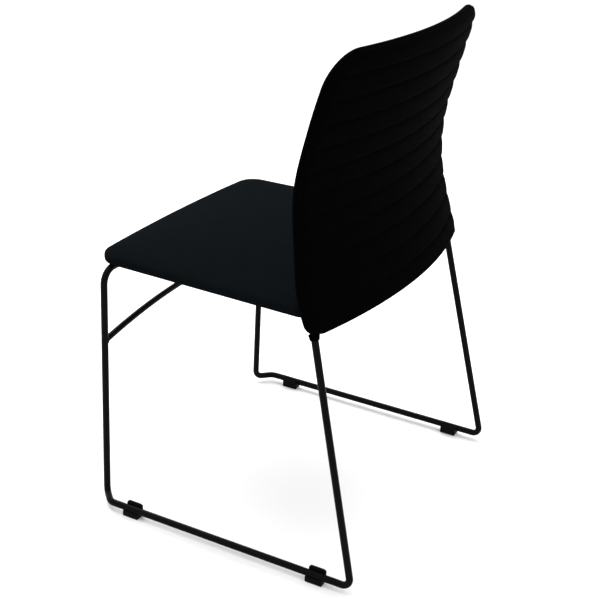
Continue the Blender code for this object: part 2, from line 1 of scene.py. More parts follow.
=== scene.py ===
"""Looks of a stacking chair: a black rod frame, a padded seat, and a thin back stitched across its rear.

Metres, +Z up, in the CAD model's frame: the floor is z = 0, the sitter faces -Y, and +X is the sitter's left.
"""
import json
import math
from bisect import bisect_right

import bmesh
import bpy
from mathutils import Matrix, Quaternion, Vector, noise


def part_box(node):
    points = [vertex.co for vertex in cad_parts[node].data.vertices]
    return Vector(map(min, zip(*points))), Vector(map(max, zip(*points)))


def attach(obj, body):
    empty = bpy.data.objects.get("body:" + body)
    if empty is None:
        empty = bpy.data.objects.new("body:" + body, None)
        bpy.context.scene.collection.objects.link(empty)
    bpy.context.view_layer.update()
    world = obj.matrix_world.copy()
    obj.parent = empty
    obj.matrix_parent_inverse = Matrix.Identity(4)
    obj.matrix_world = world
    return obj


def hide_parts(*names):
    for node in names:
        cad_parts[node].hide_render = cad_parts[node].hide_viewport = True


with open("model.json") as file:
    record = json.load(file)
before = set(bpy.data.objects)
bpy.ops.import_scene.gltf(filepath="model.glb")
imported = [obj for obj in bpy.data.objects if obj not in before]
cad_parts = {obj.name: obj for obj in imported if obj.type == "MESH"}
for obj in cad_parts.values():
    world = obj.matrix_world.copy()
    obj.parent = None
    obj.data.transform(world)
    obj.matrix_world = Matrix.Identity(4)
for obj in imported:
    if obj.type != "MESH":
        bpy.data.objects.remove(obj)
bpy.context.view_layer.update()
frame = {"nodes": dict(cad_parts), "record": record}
NODES = frame["nodes"]

# ------------------------------------------------------------------ frame, as in the CAD
ROD_R = 0.0055
BAR_R = 0.0050
RAIL_R = 0.0045
ROD_Z = 0.0130
RUNNER_X = 0.2685
LEG_X = 0.2440
FRONT_Y = -0.2138
KINK = RUNNER_X - LEG_X
REAR_Y = 0.2442
RAIL_Z = 0.4030
REAR_LEG_LEAN = 0.251
REAR_LEG_TAPER = 0.059
TIGHT_BEND = 0.012
KINK_BEND = 0.020
RAIL_BEND = 0.023
LEG_TOP_Z = 0.3950
UPRIGHT_Z = 0.4350
BAR_TOP_Z = 0.3095
BAR_BOW_R = 1.25
REAR_RAIL_Z = 0.4025
COLLAR_Z = (0.3850, 0.3935)

# ------------------------------------------------------------------ back, as in the CAD
BACK_BOTTOM = 0.3950
BACK_TOP = 0.7915
BACK_CORNER_TOP = 0.052
BACK_CORNER_BOTTOM = 0.016
BOW = 0.56
BOW_X = 0.246
PROFILE = ((0.385, 0.1580), (0.46, 0.1320), (0.53, 0.1165), (0.60, 0.1152), (0.68, 0.1305), (0.80, 0.1583))
HALF_WIDTH = ((0.385, 0.2630), (0.44, 0.2644), (0.52, 0.2530), (0.60, 0.2545), (0.70, 0.2530), (0.80, 0.2435))
UPRIGHT_INSET = 0.0155
COVER_D = 0.0096
COVER_T = 0.0011

# ------------------------------------------------------------------ seat, as in the CAD
SEAT_HALF_FRONT = 0.2305
SEAT_HALF_REAR = 0.2415
SEAT_FRONT = -0.2463
SEAT_FRONT_BOW = 0.16
SEAT_CORNER = 0.034
SEAT_CORNER_REAR = 0.018
SEAT_BOTTOM = 0.4092
SEAT_SIDE = 0.4190
SEAT_TOP = 0.4280
SEAT_ROLL = 0.0340
SEAT_CROWN = 0.0085
SEAT_TO_BACK = 0.0040
SEAT_LEVEL = 0.43

SIDES = ((1, "left"), (-1, "right"))
CORNERS = [(side, f"{label}_{name}") for side, name in SIDES for label in ("front", "rear")]


# ------------------------------------------------------------------ camera, lights and floor
def make_camera():
    """The camera stands behind the chair on the sitter's left, looks down, and leans a little."""
    at = Vector((1.6789, 0.8531, 1.1467))
    azimuth = math.radians(116.97)
    elevation = math.radians(23.73)
    roll = math.radians(2.97)
    back = Vector((math.sin(azimuth) * math.cos(elevation), -math.cos(azimuth) * math.cos(elevation),
                   math.sin(elevation)))
    data = bpy.data.cameras.new("camera")
    data.lens = 75.53
    data.sensor_width = 36
    camera = bpy.data.objects.new("camera", data)
    camera.location = at
    camera.rotation_mode = "QUATERNION"
    camera.rotation_quaternion = (-back).to_track_quat("-Z", "Y") @ Quaternion((0, 0, 1), roll)
    bpy.context.scene.collection.objects.link(camera)
    bpy.context.scene.camera = camera


def softbox(name, at, aim, size, power):
    data = bpy.data.lights.new(name, "AREA")
    data.shape = "RECTANGLE"
    data.size, data.size_y = size
    data.energy = power
    light = bpy.data.objects.new(name, data)
    light.location = at
    light.rotation_mode = "QUATERNION"
    light.rotation_quaternion = (Vector(aim) - Vector(at)).to_track_quat("-Z", "Y")
    bpy.context.scene.collection.objects.link(light)


def make_studio():
    softbox("overhead", (-0.3, -0.5, 2.6), (0, 0, 0.4), (2.4, 2.4), 50)
    softbox("front_key", (-1.6, -2.2, 1.9), (0, 0, 0.5), (1.6, 1.6), 30)
    softbox("far_side", (-2.6, 1.0, 1.4), (0, 0, 0.5), (1.2, 1.8), 10)
    world = bpy.data.worlds.new("studio")
    world.use_nodes = True
    backdrop = world.node_tree.nodes["Background"]
    backdrop.inputs["Color"].default_value = (1.0, 1.0, 1.0, 1.0)
    backdrop.inputs["Strength"].default_value = 1.12
    bpy.context.scene.world = world
    bpy.context.scene.view_settings.view_transform = "Standard"

    half = 20.0
    bm = bmesh.new()
    bmesh.ops.create_grid(bm, x_segments=1, y_segments=1, size=half)
    mesh = bpy.data.meshes.new("floor")
    bm.to_mesh(mesh)
    bm.free()
    floor = bpy.data.objects.new("floor", mesh)
    bpy.context.scene.collection.objects.link(floor)
    mat, _, shader = new_material("pale_floor", (0.93, 0.93, 0.93), 0.7)
    shader.inputs["Specular IOR Level"].default_value = 0.2
    mesh.materials.append(mat)


# ------------------------------------------------------------------ materials
def new_material(name, colour, roughness, metallic=0.0):
    mat = bpy.data.materials.new(name)
    mat.use_nodes = True
    tree = mat.node_tree
    shader = tree.nodes["Principled BSDF"]
    shader.inputs["Base Color"].default_value = (*colour, 1.0)
    shader.inputs["Roughness"].default_value = roughness
    shader.inputs["Metallic"].default_value = metallic
    return mat, tree, shader


def solid_material(name, colour, roughness, metallic=0.0):
    """A material whose pattern runs through the object's own space: its nodes, and the coordinates there."""
    mat, tree, shader = new_material(name, colour, roughness, metallic)
    return mat, tree, shader, add(tree, "TexCoord").outputs["Object"]


def add(tree, kind, settings=None, **inputs):
    """Add a node. Inputs are named by socket, with spaces as underscores, or i0, i1... by number."""
    made = tree.nodes.new("ShaderNode" + kind)
    for key, value in (settings or {}).items():
        setattr(made, key, value)
    for key, value in inputs.items():
        by_number = key[0] == "i" and key[1:].isdigit()
        socket = made.inputs[int(key[1:]) if by_number else key.replace("_", " ")]
        if isinstance(value, bpy.types.NodeSocket):
            tree.links.new(value, socket)
        else:
            socket.default_value = value
    return made


def calc(tree, operation, a, b=0.0, c=0.0):
    return add(tree, "Math", {"operation": operation}, i0=a, i1=b, i2=c).outputs[0]


def paint(tree, shader, share, colour, low, high):
    """Colour the surface between two multiples of a colour, by a share from 0 to 1."""
    mix = add(tree, "Mix", {"data_type": "RGBA"}, i0=share,
              i6=(*(low * c for c in colour), 1.0), i7=(*(high * c for c in colour), 1.0))
    tree.links.new(mix.outputs[2], shader.inputs["Base Color"])


def spread(tree, value, low, high):
    """A 0 to 1 value spread over another range."""
    return add(tree, "MapRange", Value=value, To_Min=low, To_Max=high).outputs[0]


def window(tree, value, low, high):
    """The part of a value between two limits, as 0 to 1."""
    return add(tree, "MapRange", Value=value, From_Min=low, From_Max=high).outputs[0]


def mottle(tree, coords, scale, detail=3.0, stretch=(1, 1, 1)):
    """Smooth noise from 0 to 1, drawn out along an axis by a small stretch."""
    place = add(tree, "Mapping", Vector=coords, Scale=stretch)
    return add(tree, "TexNoise", Vector=place.outputs[0], Scale=scale, Detail=detail).outputs[0]


def bump(tree, shader, height, distance, strength=1.0):
    made = add(tree, "Bump", Height=height, Distance=distance, Strength=strength)
    tree.links.new(made.outputs[0], shader.inputs["Normal"])


def fabric(name, colour, specular, sheen, pitch=0.0009):
    """A plain weave. It follows the cloth, by the lengths along it that each piece keeps in 'weave'."""
    mat, tree, shader = new_material(name, colour, 0.88)
    shader.inputs["Specular IOR Level"].default_value = specular
    shader.inputs["Sheen Weight"].default_value = sheen
    shader.inputs["Sheen Roughness"].default_value = 0.30
    shader.inputs["Sheen Tint"].default_value = (0.75, 0.85, 0.95, 1.0)
    coords = add(tree, "Attribute", {"attribute_name": "weave"}).outputs["Vector"]
    axes = add(tree, "SeparateXYZ", Vector=coords)
    turn = math.pi / pitch
    across = calc(tree, "SINE", calc(tree, "MULTIPLY", axes.outputs[0], turn))
    up = calc(tree, "SINE", calc(tree, "MULTIPLY", axes.outputs[1], turn))
    warp_on_top = calc(tree, "GREATER_THAN", calc(tree, "MULTIPLY", across, up))
    across = calc(tree, "ABSOLUTE", across)
    up = calc(tree, "ABSOLUTE", up)
    warp = calc(tree, "MULTIPLY", calc(tree, "SQRT", across), calc(tree, "MULTIPLY_ADD", up, 0.45, 0.55))
    weft = calc(tree, "MULTIPLY", calc(tree, "SQRT", up), calc(tree, "MULTIPLY_ADD", across, 0.45, 0.55))
    crossing = add(tree, "Mix", {"data_type": "FLOAT"}, i0=warp_on_top, i2=weft, i3=warp).outputs[0]
    yarns_up = mottle(tree, coords, 1.0 / pitch, 1.0, (1, 0.04, 1))
    yarns_across = mottle(tree, coords, 1.0 / pitch, 1.0, (0.04, 1, 1))
    yarn = add(tree, "Mix", {"data_type": "FLOAT"}, i0=warp_on_top, i2=yarns_across, i3=yarns_up).outputs[0]
    patches = mottle(tree, coords, 28.0, 4.0)
    fuzz = mottle(tree, coords, 2600.0, 2.0)
    shade = calc(tree, "MULTIPLY", spread(tree, yarn, 0.55, 1.45), spread(tree, patches, 0.80, 1.20))
    shade = calc(tree, "MULTIPLY", shade, spread(tree, crossing, 0.45, 1.25))
    paint(tree, shader, calc(tree, "MULTIPLY", shade, 0.5), colour, 0.35, 1.75)
    tree.links.new(spread(tree, crossing, 0.97, 0.82), shader.inputs["Roughness"])
    height = calc(tree, "ADD", calc(tree, "MULTIPLY", crossing, spread(tree, yarn, 0.7, 1.3)),
                  calc(tree, "MULTIPLY", fuzz, 0.35))
    bump(tree, shader, height, 0.00022, 0.8)
    return mat


def powder_coat(name, colour):
    """Satin powder coat: a fine orange peel, and small scuffs low down."""
    mat, tree, shader, coords = solid_material(name, colour, 0.40)
    shader.inputs["Specular IOR Level"].default_value = 0.04
    peel = mottle(tree, coords, 620.0, 2.0)
    grain = mottle(tree, coords, 2400.0, 2.0)
    haze = mottle(tree, coords, 22.0, 3.0)
    speck = add(tree, "TexNoise", Vector=coords, Scale=340.0, Detail=4.0, Roughness=0.7).outputs[0]
    low = window(tree, add(tree, "SeparateXYZ", Vector=coords).outputs[2], 0.030, 0.004)
    scuff = window(tree, speck, 0.66, 0.72)
    scuff = calc(tree, "MULTIPLY", scuff, calc(tree, "MULTIPLY_ADD", low, 0.8, 0.05))
    paint(tree, shader, scuff, colour, 1.0, 3.0)
    rough = calc(tree, "ADD", spread(tree, haze, 0.34, 0.46), calc(tree, "MULTIPLY", scuff, 0.2))
    tree.links.new(rough, shader.inputs["Roughness"])
    height = calc(tree, "ADD", peel, calc(tree, "MULTIPLY", grain, 0.25))
    bump(tree, shader, height, 0.00006, 0.6)
    return mat


def moulded_plastic(name, colour, specular):
    """Matt nylon or rubber with a fine spark-eroded grain."""
    mat, tree, shader, coords = solid_material(name, colour, 0.52)
    shader.inputs["Specular IOR Level"].default_value = specular
    cells = add(tree, "TexVoronoi", Vector=coords, Scale=1500.0).outputs["Distance"]
    haze = mottle(tree, coords, 60.0, 3.0)
    paint(tree, shader, haze, colour, 0.8, 1.25)
    tree.links.new(spread(tree, haze, 0.46, 0.60), shader.inputs["Roughness"])
    bump(tree, shader, cells, 0.00005, 0.7)
    return mat


def zinc_plate(name, colour):
    mat, tree, shader, coords = solid_material(name, colour, 0.34, 1.0)
    haze = mottle(tree, coords, 240.0, 4.0)
    paint(tree, shader, haze, colour, 0.7, 1.1)
    tree.links.new(spread(tree, haze, 0.26, 0.46), shader.inputs["Roughness"])
    bump(tree, shader, haze, 0.00003, 0.5)
    return mat


def plywood(name, colour):
    """Birch ply: long grain on the faces, and plies on the edges."""
    mat, tree, shader, coords = solid_material(name, colour, 0.60)
    grain = mottle(tree, coords, 60.0, 6.0, (1.0, 0.06, 1.0))
    wave = add(tree, "TexWave", {"bands_direction": "Z"}, Vector=coords, Scale=110.0, Distortion=0.6)
    plies = calc(tree, "MULTIPLY", wave.outputs["Fac"], 0.3)
    share = calc(tree, "ADD", calc(tree, "MULTIPLY", grain, 0.7), plies)
    paint(tree, shader, share, colour, 0.55, 1.2)
    bump(tree, shader, grain, 0.0002, 0.5)
    return mat


def open_foam(name, colour):
    mat, tree, shader, coords = solid_material(name, colour, 0.95)
    cells = add(tree, "TexVoronoi", Vector=coords, Scale=900.0).outputs["Distance"]
    paint(tree, shader, cells, colour, 0.5, 1.0)
    bump(tree, shader, cells, 0.0006, 0.8)
    return mat


def dust_cloth(name, colour):
    """Thin non-woven cloth with a pattern of small pressed dots."""
    mat, tree, shader, coords = solid_material(name, colour, 0.95)
    dots = add(tree, "TexVoronoi", Vector=coords, Scale=560.0, Randomness=0.15).outputs["Distance"]
    fibres = mottle(tree, coords, 700.0, 5.0, (1.0, 0.25, 1.0))
    pressed = window(tree, dots, 0.15, 0.35)
    paint(tree, shader, calc(tree, "MULTIPLY", pressed, spread(tree, fibres, 0.4, 1.0)), colour, 0.4, 1.3)
    bump(tree, shader, calc(tree, "ADD", pressed, fibres), 0.00025, 0.7)
    return mat


def sewing_thread(name, colour):
    """Twisted polyester thread, with random darker patches along it. Its colour is painted lighter than the
    cloth's, as a painted highlight for the light on the lower lip of each stitched line.
    """
    mat, tree, shader, coords = solid_material(name, colour, 0.60)
    shader.inputs["Specular IOR Level"].default_value = 0.0
    twist = add(tree, "TexWave", {"bands_direction": "DIAGONAL"}, Vector=coords, Scale=420.0).outputs["Fac"]
    faded = window(tree, mottle(tree, coords, 38.0, 2.0), 0.35, 0.65)
    share = calc(tree, "MULTIPLY", spread(tree, twist, 0.7, 1.0), spread(tree, faded, 0.15, 1.0))
    paint(tree, shader, share, colour, 0.25, 1.5)
    bump(tree, shader, twist, 0.00008, 0.8)
    return mat


MATS = {
    "frame_paint": powder_coat("frame_paint", (0.0020, 0.0020, 0.0017)),
    "zinc": zinc_plate("zinc", (0.45, 0.46, 0.47)),
    # cover_fabric and seat_fabric are one cloth. The seat's colour is painted about four times lighter than
    # the back's, as painted light on the seat's top and painted shade on the back's rear face.
    "cover_fabric": fabric("cover_fabric", (0.0008, 0.0009, 0.0010), 0.003, 0.003),
    "seat_fabric": fabric("seat_fabric", (0.0029, 0.0040, 0.0046), 0.003, 0.004),
    "foam": open_foam("foam", (0.30, 0.30, 0.29)),
    "plywood": plywood("plywood", (0.48, 0.33, 0.18)),
    "black_plastic": moulded_plastic("black_plastic", (0.0028, 0.0028, 0.0028), 0.03),
    # The collars' rubber is painted darker than the glides' black plastic, with no specular, as painted
    # shade: it stands for the shade under the back, where the collars sit.
    "rubber": moulded_plastic("rubber", (0.0010, 0.0010, 0.0010), 0.0),
    "liner": dust_cloth("liner", (0.010, 0.010, 0.011)),
    # the thread's colour is painted several times lighter than the back's cloth, as a painted highlight along
    # the stitched lines
    "thread": sewing_thread("thread", (0.0030, 0.0032, 0.0034)),
}


# ------------------------------------------------------------------ mesh helpers
def piece(name, bm, mat, smooth=40):
    """Turn a bmesh into a piece of the object, on the only body."""
    bmesh.ops.recalc_face_normals(bm, faces=bm.faces)
    mesh = bpy.data.meshes.new(name)
    bm.to_mesh(mesh)
    bm.free()
    mesh.shade_smooth()
    mesh.set_sharp_from_angle(angle=math.radians(smooth))
    mesh.materials.append(MATS[mat])
    obj = bpy.data.objects.new(name, mesh)
    bpy.context.scene.collection.objects.link(obj)
    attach(obj, "root")
    return obj


def through(points, t):
    """A smooth curve through (t, value) pairs, which runs on straight past its ends."""
    keys = [p[0] for p in points]
    i = min(max(bisect_right(keys, t) - 1, 0), len(points) - 2)

    def slope(k):
        a = points[max(k - 1, 0)]
        b = points[min(k + 1, len(points) - 1)]
        return (b[1] - a[1]) / (b[0] - a[0])

    (t0, v0), (t1, v1) = points[i], points[i + 1]
    if t < t0:
        return v0 + slope(i) * (t - t0)
    if t > t1:
        return v1 + slope(i + 1) * (t - t1)
    h = t1 - t0
    s = (t - t0) / h
    return (v0 * (1 + 2 * s) * (1 - s) ** 2 + h * slope(i) * s * (1 - s) ** 2
            + v1 * s * s * (3 - 2 * s) + h * slope(i + 1) * s * s * (s - 1))


def smoothstep(a, b, t):
    s = min(max((t - a) / (b - a), 0.0), 1.0)
    return s * s * (3 - 2 * s)


def circle(steps):
    """Angles all the way round."""
    return [2 * math.pi * k / steps for k in range(steps)]


def bridge(bm, low, high):
    """Join two closed rings of vertices."""
    strip(bm, low, high)
    bm.faces.new((low[-1], low[0], high[0], high[-1]))


def strip(bm, low, high):
    """Join two open lines of vertices."""
    for k in range(len(low) - 1):
        bm.faces.new((low[k], low[k + 1], high[k + 1], high[k]))


def loft(bm, rings):
    """Join closed rings of vertices, one to the next, and cap both ends."""
    for low, high in zip(rings, rings[1:]):
        bridge(bm, low, high)
    bm.faces.new(list(reversed(rings[0])))
    bm.faces.new(rings[-1])


def sweep(bm, line, radius, sides=24, closed=False):
    """Sweep a circle along a line of points. The radius is one number, or a list with one for each point."""
    count = len(line)
    radii = [radius] * count if isinstance(radius, (int, float)) else radius
    tangents = []
    for k in range(count):
        before = line[(k - 1) % count] if closed or k > 0 else line[k]
        after = line[(k + 1) % count] if closed or k < count - 1 else line[k]
        tangents.append((after - before).normalized())
    normal = tangents[0].orthogonal().normalized()
    rings = []
    for k in range(count):
        if k:
            turn = tangents[k - 1].rotation_difference(tangents[k])
            normal = (turn @ normal).normalized()
        side = tangents[k].cross(normal)
        rings.append([bm.verts.new(line[k] + (normal * math.cos(t) + side * math.sin(t)) * radii[k])
                      for t in circle(sides)])
    if not closed:
        loft(bm, rings)
        return
    for a, b in zip(rings, rings[1:]):
        bridge(bm, a, b)
    # the last ring may be turned against the first, so it joins at the nearest corner
    first = rings[0][0].co
    shift = min(range(sides), key=lambda j: (rings[-1][j].co - first).length)
    bridge(bm, rings[-1][shift:] + rings[-1][:shift], rings[0])


def revolve(bm, profile, place, steps=48):
    """A ring turned about the local Z of place, from a closed outline of (radius, height) pairs."""
    rings = [[bm.verts.new(place @ Vector((r * math.cos(t), r * math.sin(t), z))) for t in circle(steps)]
             for r, z in profile]
    for a, b in zip(rings, rings[1:] + rings[:1]):
        bridge(bm, a, b)


def bent(corners, radii, steps=16):
    """The centre line of a rod bent at each inner corner to the given radius."""
    corners = [Vector(c) for c in corners]
    line = [corners[0]]
    for before, corner, after, radius in zip(corners, corners[1:], corners[2:], radii):
        back = (before - corner).normalized()
        on = (after - corner).normalized()
        half = back.angle(on) / 2
        centre = corner + (back + on).normalized() * (radius / math.sin(half))
        start = corner + back * (radius / math.tan(half)) - centre
        end = corner + on * (radius / math.tan(half)) - centre
        turn = start.angle(end)
        for k in range(steps + 1):
            share = k / steps
            spoke = start * math.sin((1 - share) * turn) + end * math.sin(share * turn)
            line.append(centre + spoke / math.sin(turn))
    line.append(corners[-1])
    return line


def mirrored(points, side):
    return [Vector((p[0] * side, p[1], p[2])) for p in points]


def along(low, high):
    """A frame at low with local Z towards high."""
    return Matrix.Translation(low) @ (high - low).to_track_quat("Z", "Y").to_matrix().to_4x4()


def upright_at(low, high, z):
    """An upright frame at a height, over the middle of a box."""
    return Matrix.Translation(((low[0] + high[0]) / 2, (low[1] + high[1]) / 2, z))


# ------------------------------------------------------------------ frame
def middle(x, z):
    """The back's middle surface: y at a place across and up."""
    return through(PROFILE, z) + BOW * (BOW_X ** 2 - x * x)


def half_width(z):
    return through(HALF_WIDTH, z)


def upright_x(z):
    return half_width(z) - UPRIGHT_INSET


def rear_leg_point(z):
    rise = z - ROD_Z
    return Vector((RUNNER_X - REAR_LEG_TAPER * rise, REAR_Y - REAR_LEG_LEAN * rise, z))


def loop_line():
    """The rod inside the back: up the left side, round the corner and in to the middle."""
    line = []
    high = BACK_TOP - BACK_CORNER_TOP
    count = 24
    for k in range(count + 1):
        z = UPRIGHT_Z + (high - UPRIGHT_Z) * k / count
        line.append(Vector((upright_x(z), middle(upright_x(z), z), z)))
    corner = BACK_CORNER_TOP - UPRIGHT_INSET
    steps = 12
    for k in range(1, steps + 1):
        angle = math.radians(90 * k / steps)
        z = high + corner * math.sin(angle)
        x = half_width(z) - BACK_CORNER_TOP + corner * math.cos(angle)
        line.append(Vector((x, middle(x, z), z)))
    end = line[-1]
    for k in range(1, steps + 1):
        x = end.x * (1 - k / steps)
        line.append(Vector((x, middle(x, end.z), end.z)))
    return line


def frame_line():
    lower = bent(
        [(0, FRONT_Y, RAIL_Z), (LEG_X, FRONT_Y, RAIL_Z), (LEG_X, FRONT_Y, ROD_Z),
         (RUNNER_X, FRONT_Y + KINK, ROD_Z), (RUNNER_X, REAR_Y, ROD_Z), rear_leg_point(LEG_TOP_Z)],
        [RAIL_BEND, TIGHT_BEND, KINK_BEND, TIGHT_BEND])
    return lower + loop_line()


def make_rods():
    for side, name in SIDES:
        bm = bmesh.new()
        sweep(bm, mirrored(frame_line(), side), ROD_R, sides=32)
        rod = piece("rod_" + name, bm, "frame_paint")
        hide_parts("frame_rod_" + name)


def bar_point(x):
    drop = BAR_BOW_R - math.sqrt(BAR_BOW_R ** 2 - x * x)
    return Vector((x, FRONT_Y, BAR_TOP_Z - drop))


def make_bars():
    """The bowed cross bar and the straight rear rail. Their ends are welded into the legs."""
    into = 0.0020               # an end reaches this far past the leg's near side
    end = LEG_X - ROD_R + into
    count = 48
    bm = bmesh.new()
    sweep(bm, [bar_point(end * (1 - 2 * k / count)) for k in range(count + 1)], BAR_R, sides=32)
    bar = piece("cross_bar", bm, "frame_paint")
    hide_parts("front_cross_bar")

    leg = rear_leg_point(REAR_RAIL_Z)
    end = leg.x - ROD_R + into
    bm = bmesh.new()
    sweep(bm, [Vector((end * (1 - 2 * k / 12), leg.y, leg.z)) for k in range(13)], RAIL_R, sides=28)
    rail = piece("rear_rail", bm, "frame_paint")
    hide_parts("rear_cross_rail")


def weld_ring(bm, on_axis, axis, way, bar_r, leg_r, bead=0.0013):
    """A rippled bead where a bar that runs from a leg's axis along way meets the leg's surface."""
    axis = axis.normalized()
    way = way.normalized()
    up = (axis - way * axis.dot(way)).normalized()
    across = way.cross(up)
    line = []
    radii = []
    for angle in circle(64):
        start = on_axis + (up * math.cos(angle) + across * math.sin(angle)) * (bar_r + bead * 0.25)
        gap = start - on_axis
        flat_gap = gap - axis * gap.dot(axis)
        flat_way = way - axis * way.dot(axis)
        a = flat_way.dot(flat_way)
        b = 2 * flat_gap.dot(flat_way)
        c = flat_gap.dot(flat_gap) - leg_r ** 2
        t = (-b + math.sqrt(max(b * b - 4 * a * c, 0.0))) / (2 * a)
        line.append(start + way * (t + bead * 0.15))
        radii.append(bead * (1 + 0.10 * math.sin(9 * angle) + 0.06 * math.sin(14 * angle + 1)))
    sweep(bm, line, radii, sides=10, closed=True)


def weld_line(bm, a, b, bead=0.0012):
    """A straight rippled bead with rounded ends."""
    count = 22
    line = []
    radii = []
    for k in range(count + 1):
        share = k / count
        line.append(a.lerp(b, share))
        ends = math.sin(math.pi * min(max(share, 0.02), 0.98)) ** 0.25
        radii.append(bead * ends * (1 + 0.10 * math.sin(k * 2.1)))
    sweep(bm, line, radii, sides=10)


def make_welds():
    bm = bmesh.new()
    sunk = 0.0002               # a tab's bead lies this far into its corner
    short = 0.0020              # and stops this far from the tab's ends
    for side, name in SIDES:
        inward = Vector((-side, 0, 0))
        slope = (bar_point(0.20) - bar_point(LEG_X)).normalized()
        foot = bar_point(LEG_X)
        foot.x *= side
        weld_ring(bm, foot, Vector((0, 0, 1)), Vector((slope.x * side, 0, slope.z)), BAR_R, ROD_R)
        low, high = mirrored((rear_leg_point(0.35), rear_leg_point(REAR_RAIL_Z)), side)
        weld_ring(bm, high, high - low, inward, RAIL_R, ROD_R, 0.0010)
        for label in ("front", "rear"):
            low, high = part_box(f"seat_tab_{label}_{name}")
            y = low.y + sunk if label == "front" else high.y - sunk
            weld_line(bm, Vector((low.x + short, y, low.z - sunk)), Vector((high.x - short, y, low.z - sunk)))
    # the two halves of the frame are butt welded at the middle of the front rail, then ground
    ring = []
    for k in range(7):
        x = 0.003 * (k / 3 - 1)
        ring.append((x, ROD_R + 0.00012 * math.cos(math.pi * x / 0.006)))
    sweep(bm, [Vector((x, FRONT_Y, RAIL_Z)) for x, _ in ring], [r for _, r in ring], sides=32)
    piece("weld_beads", bm, "frame_paint", smooth=60)


def make_collars():
    """Soft collars where the rear legs go into the back."""
    for side, name in SIDES:
        low, high = mirrored([rear_leg_point(z) for z in COLLAR_Z], side)
        length = (high - low).length
        bore = ROD_R + 0.0003
        profile = []
        edge = 0.0012
        for outer, centre_z, turn in ((0.0084, length - edge, 0), (0.0072, edge, 1)):
            for k in range(7):
                angle = math.radians(90 - 15 * k - 90 * turn)
                profile.append((outer - edge + edge * math.cos(angle), centre_z + edge * math.sin(angle)))
        profile += [(bore, 0.0002), (bore, length - 0.0002)]
        bm = bmesh.new()
        revolve(bm, profile, along(low, high))
        # the collar's near-black rubber colour is painted shade for the shade under the back
        collar = piece("collar_" + name, bm, "rubber")
        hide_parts("rear_leg_collar_" + name)


# ------------------------------------------------------------------ cloth helpers
def on_back(x, z, depth):
    """A point at a depth behind the back's middle surface (negative is in front)."""
    step = 0.001
    rise = (middle(x, z + step) - middle(x, z - step)) / (2 * step)
    normal = Vector((2 * BOW * x, 1, -rise)).normalized()
    return Vector((x, middle(x, z), z)) + normal * depth


def round_corner(radius, inset):
    """The corner radius of an outline drawn in by inset, and its centre's distance from the edge."""
    drawn = max(radius - inset, 0.002)
    return drawn, inset + drawn


def outline_rows(start, end, corners, half, inset, counts):
    """Rows of (place, half width) from start to end, with round corners there, drawn in by inset."""
    (r_low, in_low), (r_high, in_high) = [round_corner(radius, inset) for radius in corners]
    first, straight, last = counts
    low = start + in_low
    high = end - in_high
    rows = []
    for k in range(first):
        angle = math.radians(90 * k / first)
        place = low - r_low * math.cos(angle)
        rows.append((place, half(place) - in_low + r_low * math.sin(angle)))
    for k in range(straight + 1):
        place = low + (high - low) * k / straight
        rows.append((place, half(place) - inset))
    for k in range(1, last + 1):
        angle = math.radians(90 * k / last)
        place = high + r_high * math.sin(angle)
        rows.append((place, half(place) - in_high + r_high * math.cos(angle)))
    return rows


def grid_form(bm, rows, columns, point):
    """A grid of faces over rows of (place, half width); point(x, place) gives each vertex."""
    grid = []
    for place, half in rows:
        grid.append([bm.verts.new(point(half * (2 * k / columns - 1), place)) for k in range(columns + 1)])
    for low, high in zip(grid, grid[1:]):
        strip(bm, low, high)
    return grid


def grid_rim(grid):
    """The grid's whole border: up one side, across the last row, down the other side and back."""
    return ([row[0] for row in grid] + grid[-1][1:-1] + [row[-1] for row in reversed(grid)]
            + list(reversed(grid[0][1:-1])))


def rim_points(rows, columns, point):
    """The places of grid_rim for another set of rows."""
    (first, first_half), (last, last_half) = rows[0], rows[-1]
    across = [point(last_half * (2 * k / columns - 1), last) for k in range(1, columns)]
    back = [point(first_half * (1 - 2 * k / columns), first) for k in range(1, columns)]
    left = [point(-half, place) for place, half in rows]
    right = [point(half, place) for place, half in reversed(rows)]
    return left + across + right + back


def ways_out(rows_at, columns, point, inset):
    """At each of the rim's points, the way out of the outline."""
    outer = rim_points(rows_at(0.0), columns, point)
    inner = rim_points(rows_at(inset), columns, point)
    return [(a - b).normalized() for a, b in zip(outer, inner)]


def add_ring(bm, border, points, weave):
    """Join a new closed line of points to the border. The cloth's lengths run on outwards through it."""
    ring = [bm.verts.new(p) for p in points]
    bridge(bm, border, ring)
    layer, outward = weave
    for old, new, way in zip(border, ring, outward):
        new[layer] = old[layer] + way * (new.co - old.co).length
    return ring


def baked(obj, cutters=()):
    """Apply a piece's modifiers and remove the cutters that they used."""
    bpy.context.view_layer.update()
    source = obj.evaluated_get(bpy.context.evaluated_depsgraph_get())
    mesh = bpy.data.meshes.new_from_object(source)
    obj.modifiers.clear()
    old = obj.data
    obj.data = mesh
    mesh.name = obj.name
    bpy.data.meshes.remove(old)
    for cutter in cutters:
        bpy.data.objects.remove(cutter, do_unlink=True)
    return obj


def cut(obj, place, size=None, radius=None, length=None):
    """Cut a box, or a cylinder along the local Z of place, out of a piece."""
    bm = bmesh.new()
    if size:
        bmesh.ops.create_cube(bm, size=1.0)
        bmesh.ops.scale(bm, vec=size, verts=bm.verts)
    else:
        bmesh.ops.create_cone(bm, cap_ends=True, segments=40, radius1=radius, radius2=radius, depth=length)
        bmesh.ops.translate(bm, vec=(0, 0, length / 2), verts=bm.verts)
    bm.transform(place)
    mesh = bpy.data.meshes.new("cutter")
    bm.to_mesh(mesh)
    bm.free()
    cutter = bpy.data.objects.new("cutter", mesh)
    bpy.context.scene.collection.objects.link(cutter)
    mod = obj.modifiers.new("cut", "BOOLEAN")
    mod.operation = "DIFFERENCE"
    mod.object = cutter
    mod.solver = "EXACT"
    return cutter


